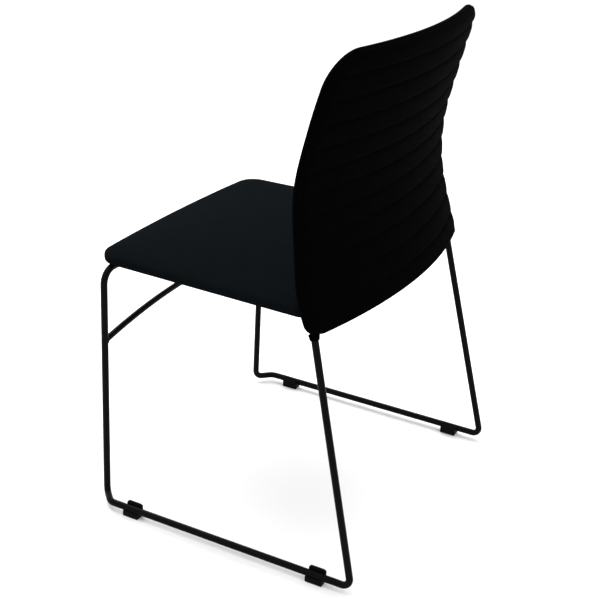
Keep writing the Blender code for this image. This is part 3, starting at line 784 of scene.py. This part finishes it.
def leg_holes(obj):
    """Cut the holes for the rear legs in a cover's lower edge."""
    cutters = []
    for side, _ in SIDES:
        foot, top = mirrored((rear_leg_point(0.3700), rear_leg_point(0.4100)), side)
        cutters.append(cut(obj, along(foot, top), radius=ROD_R + 0.0007, length=(top - foot).length))
    return cutters


def thicken(obj, thickness):
    mod = obj.modifiers.new("thickness", "SOLIDIFY")
    mod.thickness = thickness
    mod.offset = -1
    mod.use_even_offset = False


def subdivide(obj, levels=1):
    mod = obj.modifiers.new("smooth", "SUBSURF")
    mod.levels = levels
    mod.render_levels = levels


def inflate(obj, pinned, pressure, most, frames=20):
    """Blow cloth up between its pinned points, as foam does, and scale the rise down to the most allowed."""
    mesh = obj.data
    group = obj.vertex_groups.new(name="pinned")
    group.add([v.index for v in mesh.vertices if pinned(v.co)], 1.0, "REPLACE")
    mod = obj.modifiers.new("cloth", "CLOTH")
    cloth = mod.settings
    cloth.quality = 5
    cloth.mass = 0.3
    cloth.tension_stiffness = 25
    cloth.compression_stiffness = 25
    cloth.shear_stiffness = 10
    cloth.bending_stiffness = 0.6
    cloth.use_pressure = True
    cloth.uniform_pressure_force = pressure
    cloth.effector_weights.gravity = 0
    cloth.vertex_group_mass = "pinned"
    mod.point_cache.frame_start = 1
    mod.point_cache.frame_end = frames
    for number in range(1, frames + 1):
        bpy.context.scene.frame_set(number)
    shown = obj.evaluated_get(bpy.context.evaluated_depsgraph_get()).data
    moves = [a.co - b.co for a, b in zip(shown.vertices, mesh.vertices)]
    if not all(math.isfinite(move.length) for move in moves):
        raise RuntimeError(f"the cloth of {obj.name} did not settle")
    longest = max(move.length for move in moves)
    share = min(1.0, most / longest) if longest > 0 else 0.0
    for vertex, move in zip(mesh.vertices, moves):
        vertex.co += move * share
    obj.modifiers.remove(mod)
    obj.vertex_groups.remove(group)
    bpy.context.scene.frame_set(1)
    print(f"cloth: {obj.name} rose {longest * 1000:.1f} mm, kept {longest * share * 1000:.1f} mm")


# ------------------------------------------------------------------ seat
SEAT_COLUMNS = 56
SEAT_HEM = 0.0240


def seat_rear(x):
    """The seat's rear edge runs along the back, a little in front of it."""
    lean = 1.08
    return middle(x, SEAT_LEVEL) - COVER_D * lean - COVER_T / 2 - SEAT_TO_BACK


def seat_half(share):
    """Half width of the seat at a share of its depth. It widens a little towards the rear."""
    return SEAT_HALF_FRONT + (SEAT_HALF_REAR - SEAT_HALF_FRONT) * share


def seat_rows(inset=0.0, counts=(12, 40, 8)):
    """Shares of the seat's depth and half widths, drawn in by inset."""
    length = seat_rear(0) - SEAT_FRONT
    rows = outline_rows(0.0, length, (SEAT_CORNER, SEAT_CORNER_REAR), lambda run: seat_half(run / length),
                        inset, counts)
    return [(run / length, half) for run, half in rows]


def seat_y(x, share):
    front = SEAT_FRONT + SEAT_FRONT_BOW * x * x
    return front + (seat_rear(x) - front) * share


def seat_crown(x, share):
    across = 1 - (x / seat_half(share)) ** 2
    lengthwise = 1 - (2 * share - 1) ** 2
    return SEAT_CROWN * across * lengthwise


def seat_rings():
    """Inset, height and share of the crown, from the crown's edge out and down, and in to the hem's end."""
    rings = []
    steps = 12
    for k in range(steps - 1, -1, -1):
        angle = math.radians(90 * k / steps)
        rise = math.sin(angle)
        rings.append((SEAT_ROLL * (1 - math.cos(angle)), SEAT_SIDE + (SEAT_TOP - SEAT_SIDE) * rise, rise))
    edge = 0.0052               # radius of the bottom edge
    droop = 0.0012              # the stuffed edge hangs this far below the hem
    low = SEAT_BOTTOM - droop
    for k in range(1, 3):
        rings.append((0.0, SEAT_SIDE + (low + edge - SEAT_SIDE) * k / 2, 0.0))
    for k in range(1, 7):
        angle = math.radians(90 * k / 6)
        rings.append((edge * (1 - math.cos(angle)), low + edge * (1 - math.sin(angle)), 0.0))
    rings += [(0.0085, low + 0.0006, 0.0), (0.0120, SEAT_BOTTOM, 0.0), (0.0180, SEAT_BOTTOM, 0.0),
              (SEAT_HEM - 0.0006, SEAT_BOTTOM, 0.0), (SEAT_HEM, SEAT_BOTTOM + 0.0003, 0.0),
              (SEAT_HEM, SEAT_BOTTOM + 0.0009, 0.0)]
    return rings


def seat_gather(co):
    """Small pleats where the cloth is turned in round the four corners. They fade out up the side."""
    rear = seat_rear(co.x)
    if co.y < 0:
        radius, half, corner_y = SEAT_CORNER, SEAT_HALF_FRONT, SEAT_FRONT + SEAT_CORNER
    else:
        radius, half, corner_y = SEAT_CORNER_REAR, SEAT_HALF_REAR, rear - SEAT_CORNER_REAR
    corner = Vector((math.copysign(half - radius, co.x), corner_y))
    spoke = Vector((co.x, co.y)) - corner
    if spoke.x * corner.x < 0 or (spoke.y < 0) != (co.y < 0) or spoke.length < 0.004:
        return 0.0
    angle = math.atan2(abs(spoke.x), abs(spoke.y))
    within = math.sin(2 * angle) ** 2
    low = 1 - smoothstep(SEAT_BOTTOM - 0.001, SEAT_BOTTOM + 0.010, co.z)
    waves = math.sin(angle * 30 + 2.5 * noise.noise(Vector((co.x * 30, co.y * 30, 3.0))))
    return 0.00055 * within * low * waves


def make_seat_cushion():
    """A crowned, closed cushion. Its cloth rolls over the sides and is turned in under the board."""
    bm = bmesh.new()
    layer = bm.verts.layers.float_vector.new("weave")
    top = SEAT_TOP
    grid = grid_form(bm, seat_rows(SEAT_ROLL), SEAT_COLUMNS,
                     lambda x, share: Vector((x, seat_y(x, share), top + seat_crown(x, share))))
    for vert in bm.verts:
        vert[layer] = Vector((vert.co.x, vert.co.y, 0))
    border = grid_rim(grid)
    outward = ways_out(seat_rows, SEAT_COLUMNS, lambda x, share: Vector((x, seat_y(x, share), 0)), 0.010)
    for inset, level, crown in seat_rings():

        def place(x, share, level=level, crown=crown):
            return Vector((x, seat_y(x, share), level + crown * seat_crown(x, share)))

        border = add_ring(bm, border, rim_points(seat_rows(inset), SEAT_COLUMNS, place), (layer, outward))
    under = SEAT_BOTTOM + 0.0009
    low_grid = grid_form(bm, seat_rows(SEAT_HEM), SEAT_COLUMNS,
                         lambda x, share: Vector((x, seat_y(x, share), under)))
    for row in low_grid:
        for vert in row:
            vert[layer] = Vector((vert.co.x, vert.co.y, 0))
    bmesh.ops.remove_doubles(bm, verts=bm.verts, dist=0.000002)
    cushion = piece("seat_cushion", bm, "seat_fabric", smooth=60)
    inflate(cushion, lambda co: co.z < SEAT_SIDE + 0.005, 4.0, 0.0030)
    for vertex in cushion.data.vertices:
        gather = seat_gather(vertex.co)
        wave = noise.noise(Vector((vertex.co.x * 14, vertex.co.y * 14, 1.0)))
        rise = smoothstep(SEAT_SIDE, SEAT_TOP, vertex.co.z)
        vertex.co += vertex.normal * gather + Vector((0, 0, 0.0006 * wave * rise))
    subdivide(cushion)
    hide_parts("seat_cover")


# ------------------------------------------------------------------ back
BACK_COLUMNS = 60
BACK_CORNERS = ((BACK_TOP - BACK_CORNER_TOP, BACK_CORNER_TOP, 1),        # level, radius, way out
                (BACK_BOTTOM + BACK_CORNER_BOTTOM, BACK_CORNER_BOTTOM, -1))
SEAM_ANGLE = 14                 # the seam's place on the rim: 0 is its outermost line, 90 the rear face
SEAM_LIP = ((6.0, 0.0002), (2.5, 0.0009), (1.5, 0.0020))    # degrees from the seam, depth the cloth turns in
PLEAT_PITCH = 0.0335            # between the stitched lines
PLEAT_LOW = 0.4250              # the lowest one
PLEATS = 11
FRONT_OPEN_X = 0.2415           # the front cover is open below the seat, between the legs
FRONT_OPEN_Z = 0.4187


def back_rows(inset=0.0):
    """Heights and half widths of the back's outline, drawn in by inset."""
    return outline_rows(BACK_BOTTOM, BACK_TOP, (BACK_CORNER_BOTTOM, BACK_CORNER_TOP), half_width, inset,
                        (12, 46, 12))


def rim_ring(angle, sunk):
    """A ring on the half-round rim, sunk below its face: how far in from the outline, and its depth."""
    turn = math.radians(angle)
    radius = COVER_D - sunk
    return COVER_D - radius * math.cos(turn), radius * math.sin(turn)


def make_front_cover():
    """Plain cloth over the front, rolled round the rim to the seam, just past the rim's outermost line."""
    bm = bmesh.new()
    layer = bm.verts.layers.float_vector.new("weave")
    swell = 0.0015
    start = COVER_D

    def front(x, z):
        share = (z - BACK_BOTTOM) / (BACK_TOP - BACK_BOTTOM)
        crown = swell * (1 - (x / 0.26) ** 2) * (1 - (2 * share - 1) ** 2)
        return on_back(x, z, -COVER_D - crown)

    grid = grid_form(bm, back_rows(start), BACK_COLUMNS, front)
    for vert in bm.verts:
        vert[layer] = Vector((vert.co.x, vert.co.z, 0))
    border = grid_rim(grid)
    outward = ways_out(back_rows, BACK_COLUMNS, lambda x, z: Vector((x, z, 0)), 0.006)
    steps = 12
    arc = 90 + SEAM_ANGLE - 12      # from the front face to 12 degrees short of the seam
    rings = [rim_ring(-90 + arc * k / steps, 0.0) for k in range(1, steps + 1)]
    rings += [rim_ring(SEAM_ANGLE - away, sunk) for away, sunk in SEAM_LIP]
    rings.append(rim_ring(SEAM_ANGLE + 5.0, 0.0034))        # the seam allowance, behind the rear panel's lip
    for inset, depth in rings:
        points = rim_points(back_rows(inset), BACK_COLUMNS, lambda x, z, d=depth: on_back(x, z, d))
        border = add_ring(bm, border, points, (layer, outward))
    cover = piece("back_front_cover", bm, "cover_fabric", smooth=60)

    def pinned(co):
        return co.y > middle(co.x, co.z) - COVER_D * 0.9 or co.z < FRONT_OPEN_Z + 0.004

    inflate(cover, pinned, 4.0, 0.0030)
    thicken(cover, COVER_T)
    subdivide(cover)
    opening = Matrix.Translation((0, 0.11, FRONT_OPEN_Z - 0.03))
    cutters = [cut(cover, opening, size=(2 * FRONT_OPEN_X, 0.20, 0.06))]
    baked(cover, cutters + leg_holes(cover))
    cover.data.set_sharp_from_angle(angle=math.radians(50))
    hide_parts("back_cover_front")


PANEL_START = SEAM_ANGLE + 8      # the panel's face starts at this angle on the rim, beside its lip
PANEL_EDGE = COVER_D * (1 - math.cos(math.radians(PANEL_START)))
PANEL_BOTTOM = BACK_BOTTOM + 0.0025
HEM_ARCH = 0.0034               # the hem's middle is this much higher than its ends
HEM_FADE = 0.0220               # above this height over the hem the cloth no longer follows the arch
HEM_R = 0.0025


def corner_centre(x, z):
    """The centre and radius of the outline's corner that a place is in, or None away from the corners."""
    for level, radius, way in BACK_CORNERS:
        centre_x = half_width(z) - radius
        if (z - level) * way > 0 and abs(x) > centre_x:
            return math.copysign(centre_x, x), level, radius
    return None


def edge_gap(x, z):
    """How far a place on the rear panel is inside the back's outline. The open bottom edge does not count."""
    corner = corner_centre(x, z)
    if corner:
        return corner[2] - math.hypot(x - corner[0], z - corner[1])
    side = half_width(z) - abs(x)
    from_corner = max(side - BACK_CORNER_BOTTOM, 0.0)
    low = max(z - BACK_BOTTOM, 0.0) + 2 * from_corner if z < BACK_BOTTOM + BACK_CORNER_BOTTOM else side
    return min(side, BACK_TOP - z, low)


def outward_way(x, z):
    """The way out of the outline, across and up, at a place on the panel's border."""
    corner = corner_centre(x, z)
    if corner:
        return Vector((x - corner[0], z - corner[1])).normalized()
    if BACK_TOP - z < half_width(z) - abs(x):
        return Vector((0, 1))
    return Vector((math.copysign(1, x), 0))


def panel_half(z, inset):
    """Half width of the rear panel at a height, round its corners."""
    edge = half_width(z)
    for level, radius, way in BACK_CORNERS:
        rise = (z - level) * way
        if rise > 0:
            reach = radius - inset
            return edge - radius + math.sqrt(max(reach * reach - rise * rise, 0.0))
    return edge - inset


def pleat_levels():
    return [PLEAT_LOW + PLEAT_PITCH * k for k in range(PLEATS)]


def rim_steps():
    """Distances in from the panel's border, close together where the rim is steep."""
    steps = 8
    angles = [PANEL_START + (90 - PANEL_START) * k / steps for k in range(steps + 1)]
    return [COVER_D * (1 - math.cos(math.radians(angle))) - PANEL_EDGE for angle in angles]


def panel_levels():
    """Heights of the rear panel's rows, close together at each stitched line and round the corners."""
    steps = (0.0, 0.0006, 0.0013, 0.0022, 0.0036, 0.0055, 0.0080, 0.0110, 0.0145)
    top = BACK_TOP - PANEL_EDGE
    levels = {PANEL_BOTTOM + rise for rise in (0.0, 0.0012, 0.0026, 0.0042, 0.0060, 0.0080, 0.0105, 0.0135)}
    for level in pleat_levels():
        levels |= {level + way * step for step in steps for way in (-1, 1)}
    levels |= {top - step for step in rim_steps()}
    high = BACK_TOP - BACK_CORNER_TOP
    levels |= {high + (top - high) * math.sin(math.radians(90 * k / 22)) for k in range(1, 23)}
    kept = []
    for level in sorted(levels):
        if PANEL_BOTTOM <= level <= top and (not kept or level - kept[-1] > 0.0003):
            kept.append(level)
    kept[-1] = top
    return kept


def pleat_depth(x, z):
    """The rear face: flat swells between the stitched lines, with small puckers along each line."""
    away = min(abs(z - level) for level in pleat_levels())
    dip = math.exp(-away / 0.0036)
    fine = 0.00035 * noise.noise(Vector((x * 170, z * 60, 7.0)))
    broad = 0.00070 * noise.noise(Vector((x * 46, z * 34, 4.0)))
    pucker = (fine + broad) * math.exp(-away / 0.0080)
    drift = 0.00025 * noise.noise(Vector((x * 11, z * 22, 2.0)))
    return 0.0116 - 0.0032 * dip + (pucker + drift) * (1 - dip)


def panel_depth(x, z):
    """The rear panel's face: pleats in the middle, and the rear half of the half-round rim."""
    gap = edge_gap(x, z)
    drop = max(COVER_D - gap, 0.0)
    rim = math.sqrt(max(COVER_D ** 2 - drop ** 2, 0.0))
    share = smoothstep(0.5 * COVER_D, COVER_D + 0.003, gap)
    return rim + (pleat_depth(x, z) - COVER_D) * share


def hem_lift(x, z):
    fade = 1 - smoothstep(PANEL_BOTTOM, PANEL_BOTTOM + HEM_FADE, z)
    return fade * (HEM_ARCH * (1 - (x / 0.25) ** 2))


def make_rear_panel():
    """The stitched rear panel, sewn to the front cover round its sides and top, with a hem at the bottom."""
    steps = rim_steps()
    inner = 130                 # columns between the rims
    bm = bmesh.new()
    layer = bm.verts.layers.float_vector.new("weave")

    def vertex(x, z, depth, weave):
        vert = bm.verts.new(on_back(x, z, depth))
        vert[layer] = weave
        return vert

    grid = []
    for z in panel_levels():
        half = panel_half(z, PANEL_EDGE)
        reach = half - steps[-1]
        xs = [-half + step for step in steps[:-1]] + [reach * (2 * k / inner - 1) for k in range(inner + 1)]
        xs += [half - step for step in reversed(steps[:-1])]
        grid.append([vertex(x, z + hem_lift(x, z), panel_depth(x, z), Vector((x, z, 0))) for x in xs])
    for low, high in zip(grid, grid[1:]):
        strip(bm, low, high)
    # the lip: the cloth turns in at the seam, up one side, over the top and down the other side
    border = [row[0] for row in grid] + grid[-1][1:-1] + [row[-1] for row in reversed(grid)]
    places = [(vert[layer].x, vert[layer].y) for vert in border]
    for away, sunk in SEAM_LIP:
        inset, depth = rim_ring(SEAM_ANGLE + away, sunk)
        ring = []
        for (x, z), vert in zip(places, border):
            place = Vector((x, z)) - outward_way(x, z) * (inset - PANEL_EDGE)
            ring.append(vertex(place.x, place.y + hem_lift(x, z), depth, vert[layer]))
        strip(bm, border, ring)
        border = ring
    # the hem: round the bottom edge, then up inside
    border = grid[0]
    rings = [(-HEM_R * math.sin(a), HEM_R * (1 - math.cos(a)))
             for a in (math.radians(180 * k / 8) for k in range(1, 9))]
    rings += [(rise, 2 * HEM_R) for rise in (0.004, 0.010, 0.018)]
    for rise, inward in rings:
        line = []
        for x in (vert[layer].x for vert in grid[0]):
            outer = panel_depth(x, PANEL_BOTTOM)
            share = smoothstep(0.0040, 0.0096, outer)
            z = PANEL_BOTTOM + rise * share + hem_lift(x, PANEL_BOTTOM)
            line.append(vertex(x, z, outer - inward * share, Vector((x, PANEL_BOTTOM - inward, 0))))
        strip(bm, border, line)
        border = line
    panel = piece("back_rear_panel", bm, "cover_fabric", smooth=70)
    thicken(panel, 0.0009)
    baked(panel, leg_holes(panel))
    panel.data.set_sharp_from_angle(angle=math.radians(60))
    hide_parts("back_cover_rear")


def add_stitch(bm, a, b, out, radius=0.00032):
    """A stitch: a short thread that dives into the cloth at both ends."""
    way = (b - a).normalized()
    across = way.cross(out)
    end, shoulder = (0.55, 0.9), (0.9, 0.25)        # thickness, and depth in the cloth, in radii
    stations = ((0.0, end), (0.12, shoulder), (0.5, (1.0, 0.0)), (0.88, shoulder), (1.0, end))
    rings = []
    for share, (size, sink) in stations:
        centre = a.lerp(b, share) - out * (sink * radius)
        rings.append([bm.verts.new(centre + (out * math.cos(t) + across * math.sin(t)) * radius * size)
                      for t in circle(6)])
    loft(bm, rings)


def make_stitches():
    """Lockstitch along each line across the rear panel, and along its hem."""
    bm = bmesh.new()
    stitch = 0.0034
    gap = 0.0008
    # the stitches sit on this lower fold, where the thread's lighter colour is a painted highlight for the
    # light on the fold
    low = 0.0006                # the thread pulls against the cloth's lower fold
    proud = 0.00012
    hem_line = BACK_BOTTOM + 0.0095
    for z in pleat_levels() + [hem_line]:
        half = panel_half(z, COVER_D) - 0.001
        count = int(2 * half / (stitch + gap))
        start = -count * (stitch + gap) / 2
        for k in range(count):
            x = start + k * (stitch + gap)
            a, b = [on_back(p, z - low, panel_depth(p, z - low) + proud) for p in (x, x + stitch)]
            out = (on_back(x, z, 0.02) - on_back(x, z, 0.0)).normalized()
            add_stitch(bm, a, b, out)
    piece("back_stitches", bm, "thread", smooth=80)


# ------------------------------------------------------------------ glides, screws and underside
GLIDE_L = 0.0280
GLIDE_IN = 0.0098
GLIDE_OUT = 0.0064
GLIDE_EAR_Z = 0.0225
GLIDE_LIP_Z = 0.0100


def glide_section(top, foot):
    """Section of a glide, outboard edge first: x inboard from the rod's centre, height from foot to top."""
    saddle = ROD_R + 0.0003
    points = [(-GLIDE_OUT + 0.0006, 0.0), (GLIDE_IN - 0.0008, 0.0), (GLIDE_IN, 0.0012),
              (GLIDE_IN, GLIDE_EAR_Z - 0.0012), (GLIDE_IN - 0.0010, GLIDE_EAR_Z),
              (saddle + 0.0010, GLIDE_EAR_Z), (saddle + 0.0002, GLIDE_EAR_Z - 0.0016)]
    lip = 180 + math.degrees(math.asin((ROD_Z - GLIDE_LIP_Z) / saddle))
    steps = 24
    for k in range(steps + 1):
        angle = math.radians(-(360 - lip) * k / steps)
        points.append((saddle * math.cos(angle), ROD_Z + saddle * math.sin(angle)))
    points += [(-GLIDE_OUT + 0.0003, GLIDE_LIP_Z + 0.0001), (-GLIDE_OUT, GLIDE_LIP_Z - 0.0006),
               (-GLIDE_OUT, 0.0010)]
    return [(x, min(max(z, foot), top) if z > ROD_Z or z < 0.002 else z) for x, z in points]


def make_glides():
    """Moulded blocks under the runners, chamfered at both ends, with an ear inboard of the rod."""
    chamfer = 0.0032
    ends = ((0.0, chamfer, 0.0012), (0.0008, chamfer - 0.0010, 0.0), (chamfer, 0.0, 0.0))
    stations = list(ends) + [(GLIDE_L - run, drop, foot) for run, drop, foot in reversed(ends)]
    for side, corner in CORNERS:
        low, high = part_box(f"glide_{corner}")
        start = (low[1] + high[1] - GLIDE_L) / 2
        bm = bmesh.new()
        loft(bm, [[bm.verts.new((side * (RUNNER_X - x), start + run, z))
                   for x, z in glide_section(GLIDE_EAR_Z - drop, foot)] for run, drop, foot in stations])
        glide = piece(f"glide_block_{corner}", bm, "black_plastic", smooth=32)
        # the screw's sunk head and its hole, from just under the sole
        place = Matrix.Translation((side * RUNNER_X, start + GLIDE_L / 2, -0.001))
        cutters = [cut(glide, place, radius=0.0036, length=0.0039),
                   cut(glide, place, radius=0.0019, length=0.0120)]
        baked(glide, cutters)
        glide.data.set_sharp_from_angle(angle=math.radians(32))
        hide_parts(f"glide_{corner}")


def socket_screw(bm, place, shank, head, tip, neck, foot, key):
    """A screw that stands on its head about local Z, with a hexagonal socket in the head's face."""
    edge = 0.0004
    point = 0.0008              # length of the tapered tip
    pitch = 0.0008
    thread_top = tip - 0.0012
    deep = (neck - foot) * 0.65

    def hexagon(angle):
        return key / math.cos((angle + math.pi / 6) % (math.pi / 3) - math.pi / 6)

    loops = [(shank * 0.6, tip), (shank, tip - point)]
    for k in range(int((thread_top - neck) / pitch)):
        top = thread_top - k * pitch
        loops += [(shank, top), (shank * 0.86, top - pitch / 2)]
    loops += [(shank, neck), (head, neck), (head, foot + edge), (head - edge, foot), (key + 0.0006, foot)]
    rings = [(lambda angle, radius=radius: radius, z) for radius, z in loops]
    rings += [(hexagon, foot + 0.0001), (hexagon, foot + deep)]
    loft(bm, [[bm.verts.new(place @ Vector((reach(t) * math.cos(t), reach(t) * math.sin(t), z)))
               for t in circle(48)] for reach, z in rings])


def make_screws():
    """Socket screws: four up through the seat's tabs, and one in the sole of each glide."""
    # node, piece, radii of shank and head, height of the head, half width of its hexagon
    kinds = (("seat_screw", "seat_bolt", 0.0024, 0.0046, 0.0031, 0.0017),
             ("glide_screw", "glide_pin", 0.0015, 0.0031, 0.0019, 0.0011))
    for _, corner in CORNERS:
        for node, title, shank, head, height, key in kinds:
            low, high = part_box(f"{node}_{corner}")
            bm = bmesh.new()
            socket_screw(bm, upright_at(low, high, 0), shank, head, high[2], low[2] + height, low[2], key)
            screw = piece(f"{title}_{corner}", bm, "zinc", smooth=35)
            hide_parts(f"{node}_{corner}")


LINER_INSET = 0.0165
LINER_DROP = 0.0005             # below the hem that it covers


def make_liner():
    """A dust cloth stapled under the board over the turned-in hem, with holes for the four bolts."""
    bm = bmesh.new()
    grid_form(bm, seat_rows(LINER_INSET, (8, 36, 6)), 48,
              lambda x, share: Vector((x, seat_y(x, share), SEAT_BOTTOM - LINER_DROP)))
    area = sum(face.calc_area() for face in bm.faces)
    sides = zip(*(vert.co.xy for vert in bm.verts))
    flat = tuple(max(places) - min(places) for places in sides)
    for vert in bm.verts:
        ripple = noise.noise(Vector((vert.co.x * 26, vert.co.y * 26, 5.0)))
        vert.co.z += 0.00012 * ripple
    sheet = piece("seat_dust_cloth", bm, "liner", smooth=60)
    thicken(sheet, 0.0004)
    cutters = []
    for _, corner in CORNERS:
        place = upright_at(*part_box(f"seat_screw_{corner}"), SEAT_BOTTOM - 0.004)
        cutters.append(cut(sheet, place, radius=0.0040, length=0.008))
    baked(sheet, cutters)
    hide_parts("seat_liner")


def make_staples():
    """Wire staples through the liner and the hem, in a row round the underside."""
    bm = bmesh.new()
    inset = LINER_INSET + 0.0040
    line = rim_points(seat_rows(inset, (6, 60, 6)), 70,
                      lambda x, share: Vector((x, seat_y(x, share), SEAT_BOTTOM - LINER_DROP - 0.0007)))
    pitch = 0.026
    crown = 0.0095
    wire = 0.00035
    half = crown / 2
    leg = ((-half, 0.0016), (-half, 0.0003), (-half + 0.0005, 0.0))
    staple = leg + tuple((-place, rise) for place, rise in reversed(leg))
    run = 0.0
    for a, b in zip(line, line[1:] + line[:1]):
        run += (b - a).length
        if run < pitch or (b - a).length < 0.0005:
            continue
        run = 0.0
        way = (b - a).normalized()
        near_rail = abs(a.y - FRONT_Y) < 0.008
        if near_rail:
            continue
        points = [a + way * along_it + Vector((0, 0, rise)) for along_it, rise in staple]
        sweep(bm, points, wire, sides=8)
    piece("seat_staples", bm, "zinc", smooth=60)


def finish_cad_nodes():
    """The CAD pieces that stay get their finish too, and the flat tabs get eased edges."""
    for part in frame["record"]["subparts"]:
        obj = NODES[part["node"]]
        if obj.hide_render:
            continue
        if not obj.material_slots:
            obj.data.materials.append(MATS[part["material_slot"]])
        for slot in obj.material_slots:
            slot.link = "OBJECT"
            slot.material = MATS[part["material_slot"]]
        if part["node"].startswith(("seat_tab", "back_lug")):
            eased = obj.modifiers.new("eased", "BEVEL")
            eased.width = 0.0004
            eased.segments = 2
            eased.limit_method = "ANGLE"
            eased.angle_limit = math.radians(50)


make_camera()
make_studio()
make_rods()
make_bars()
make_welds()
make_collars()
make_seat_cushion()
make_front_cover()
make_rear_panel()
make_stitches()
make_glides()
make_screws()
make_liner()
make_staples()
finish_cad_nodes()
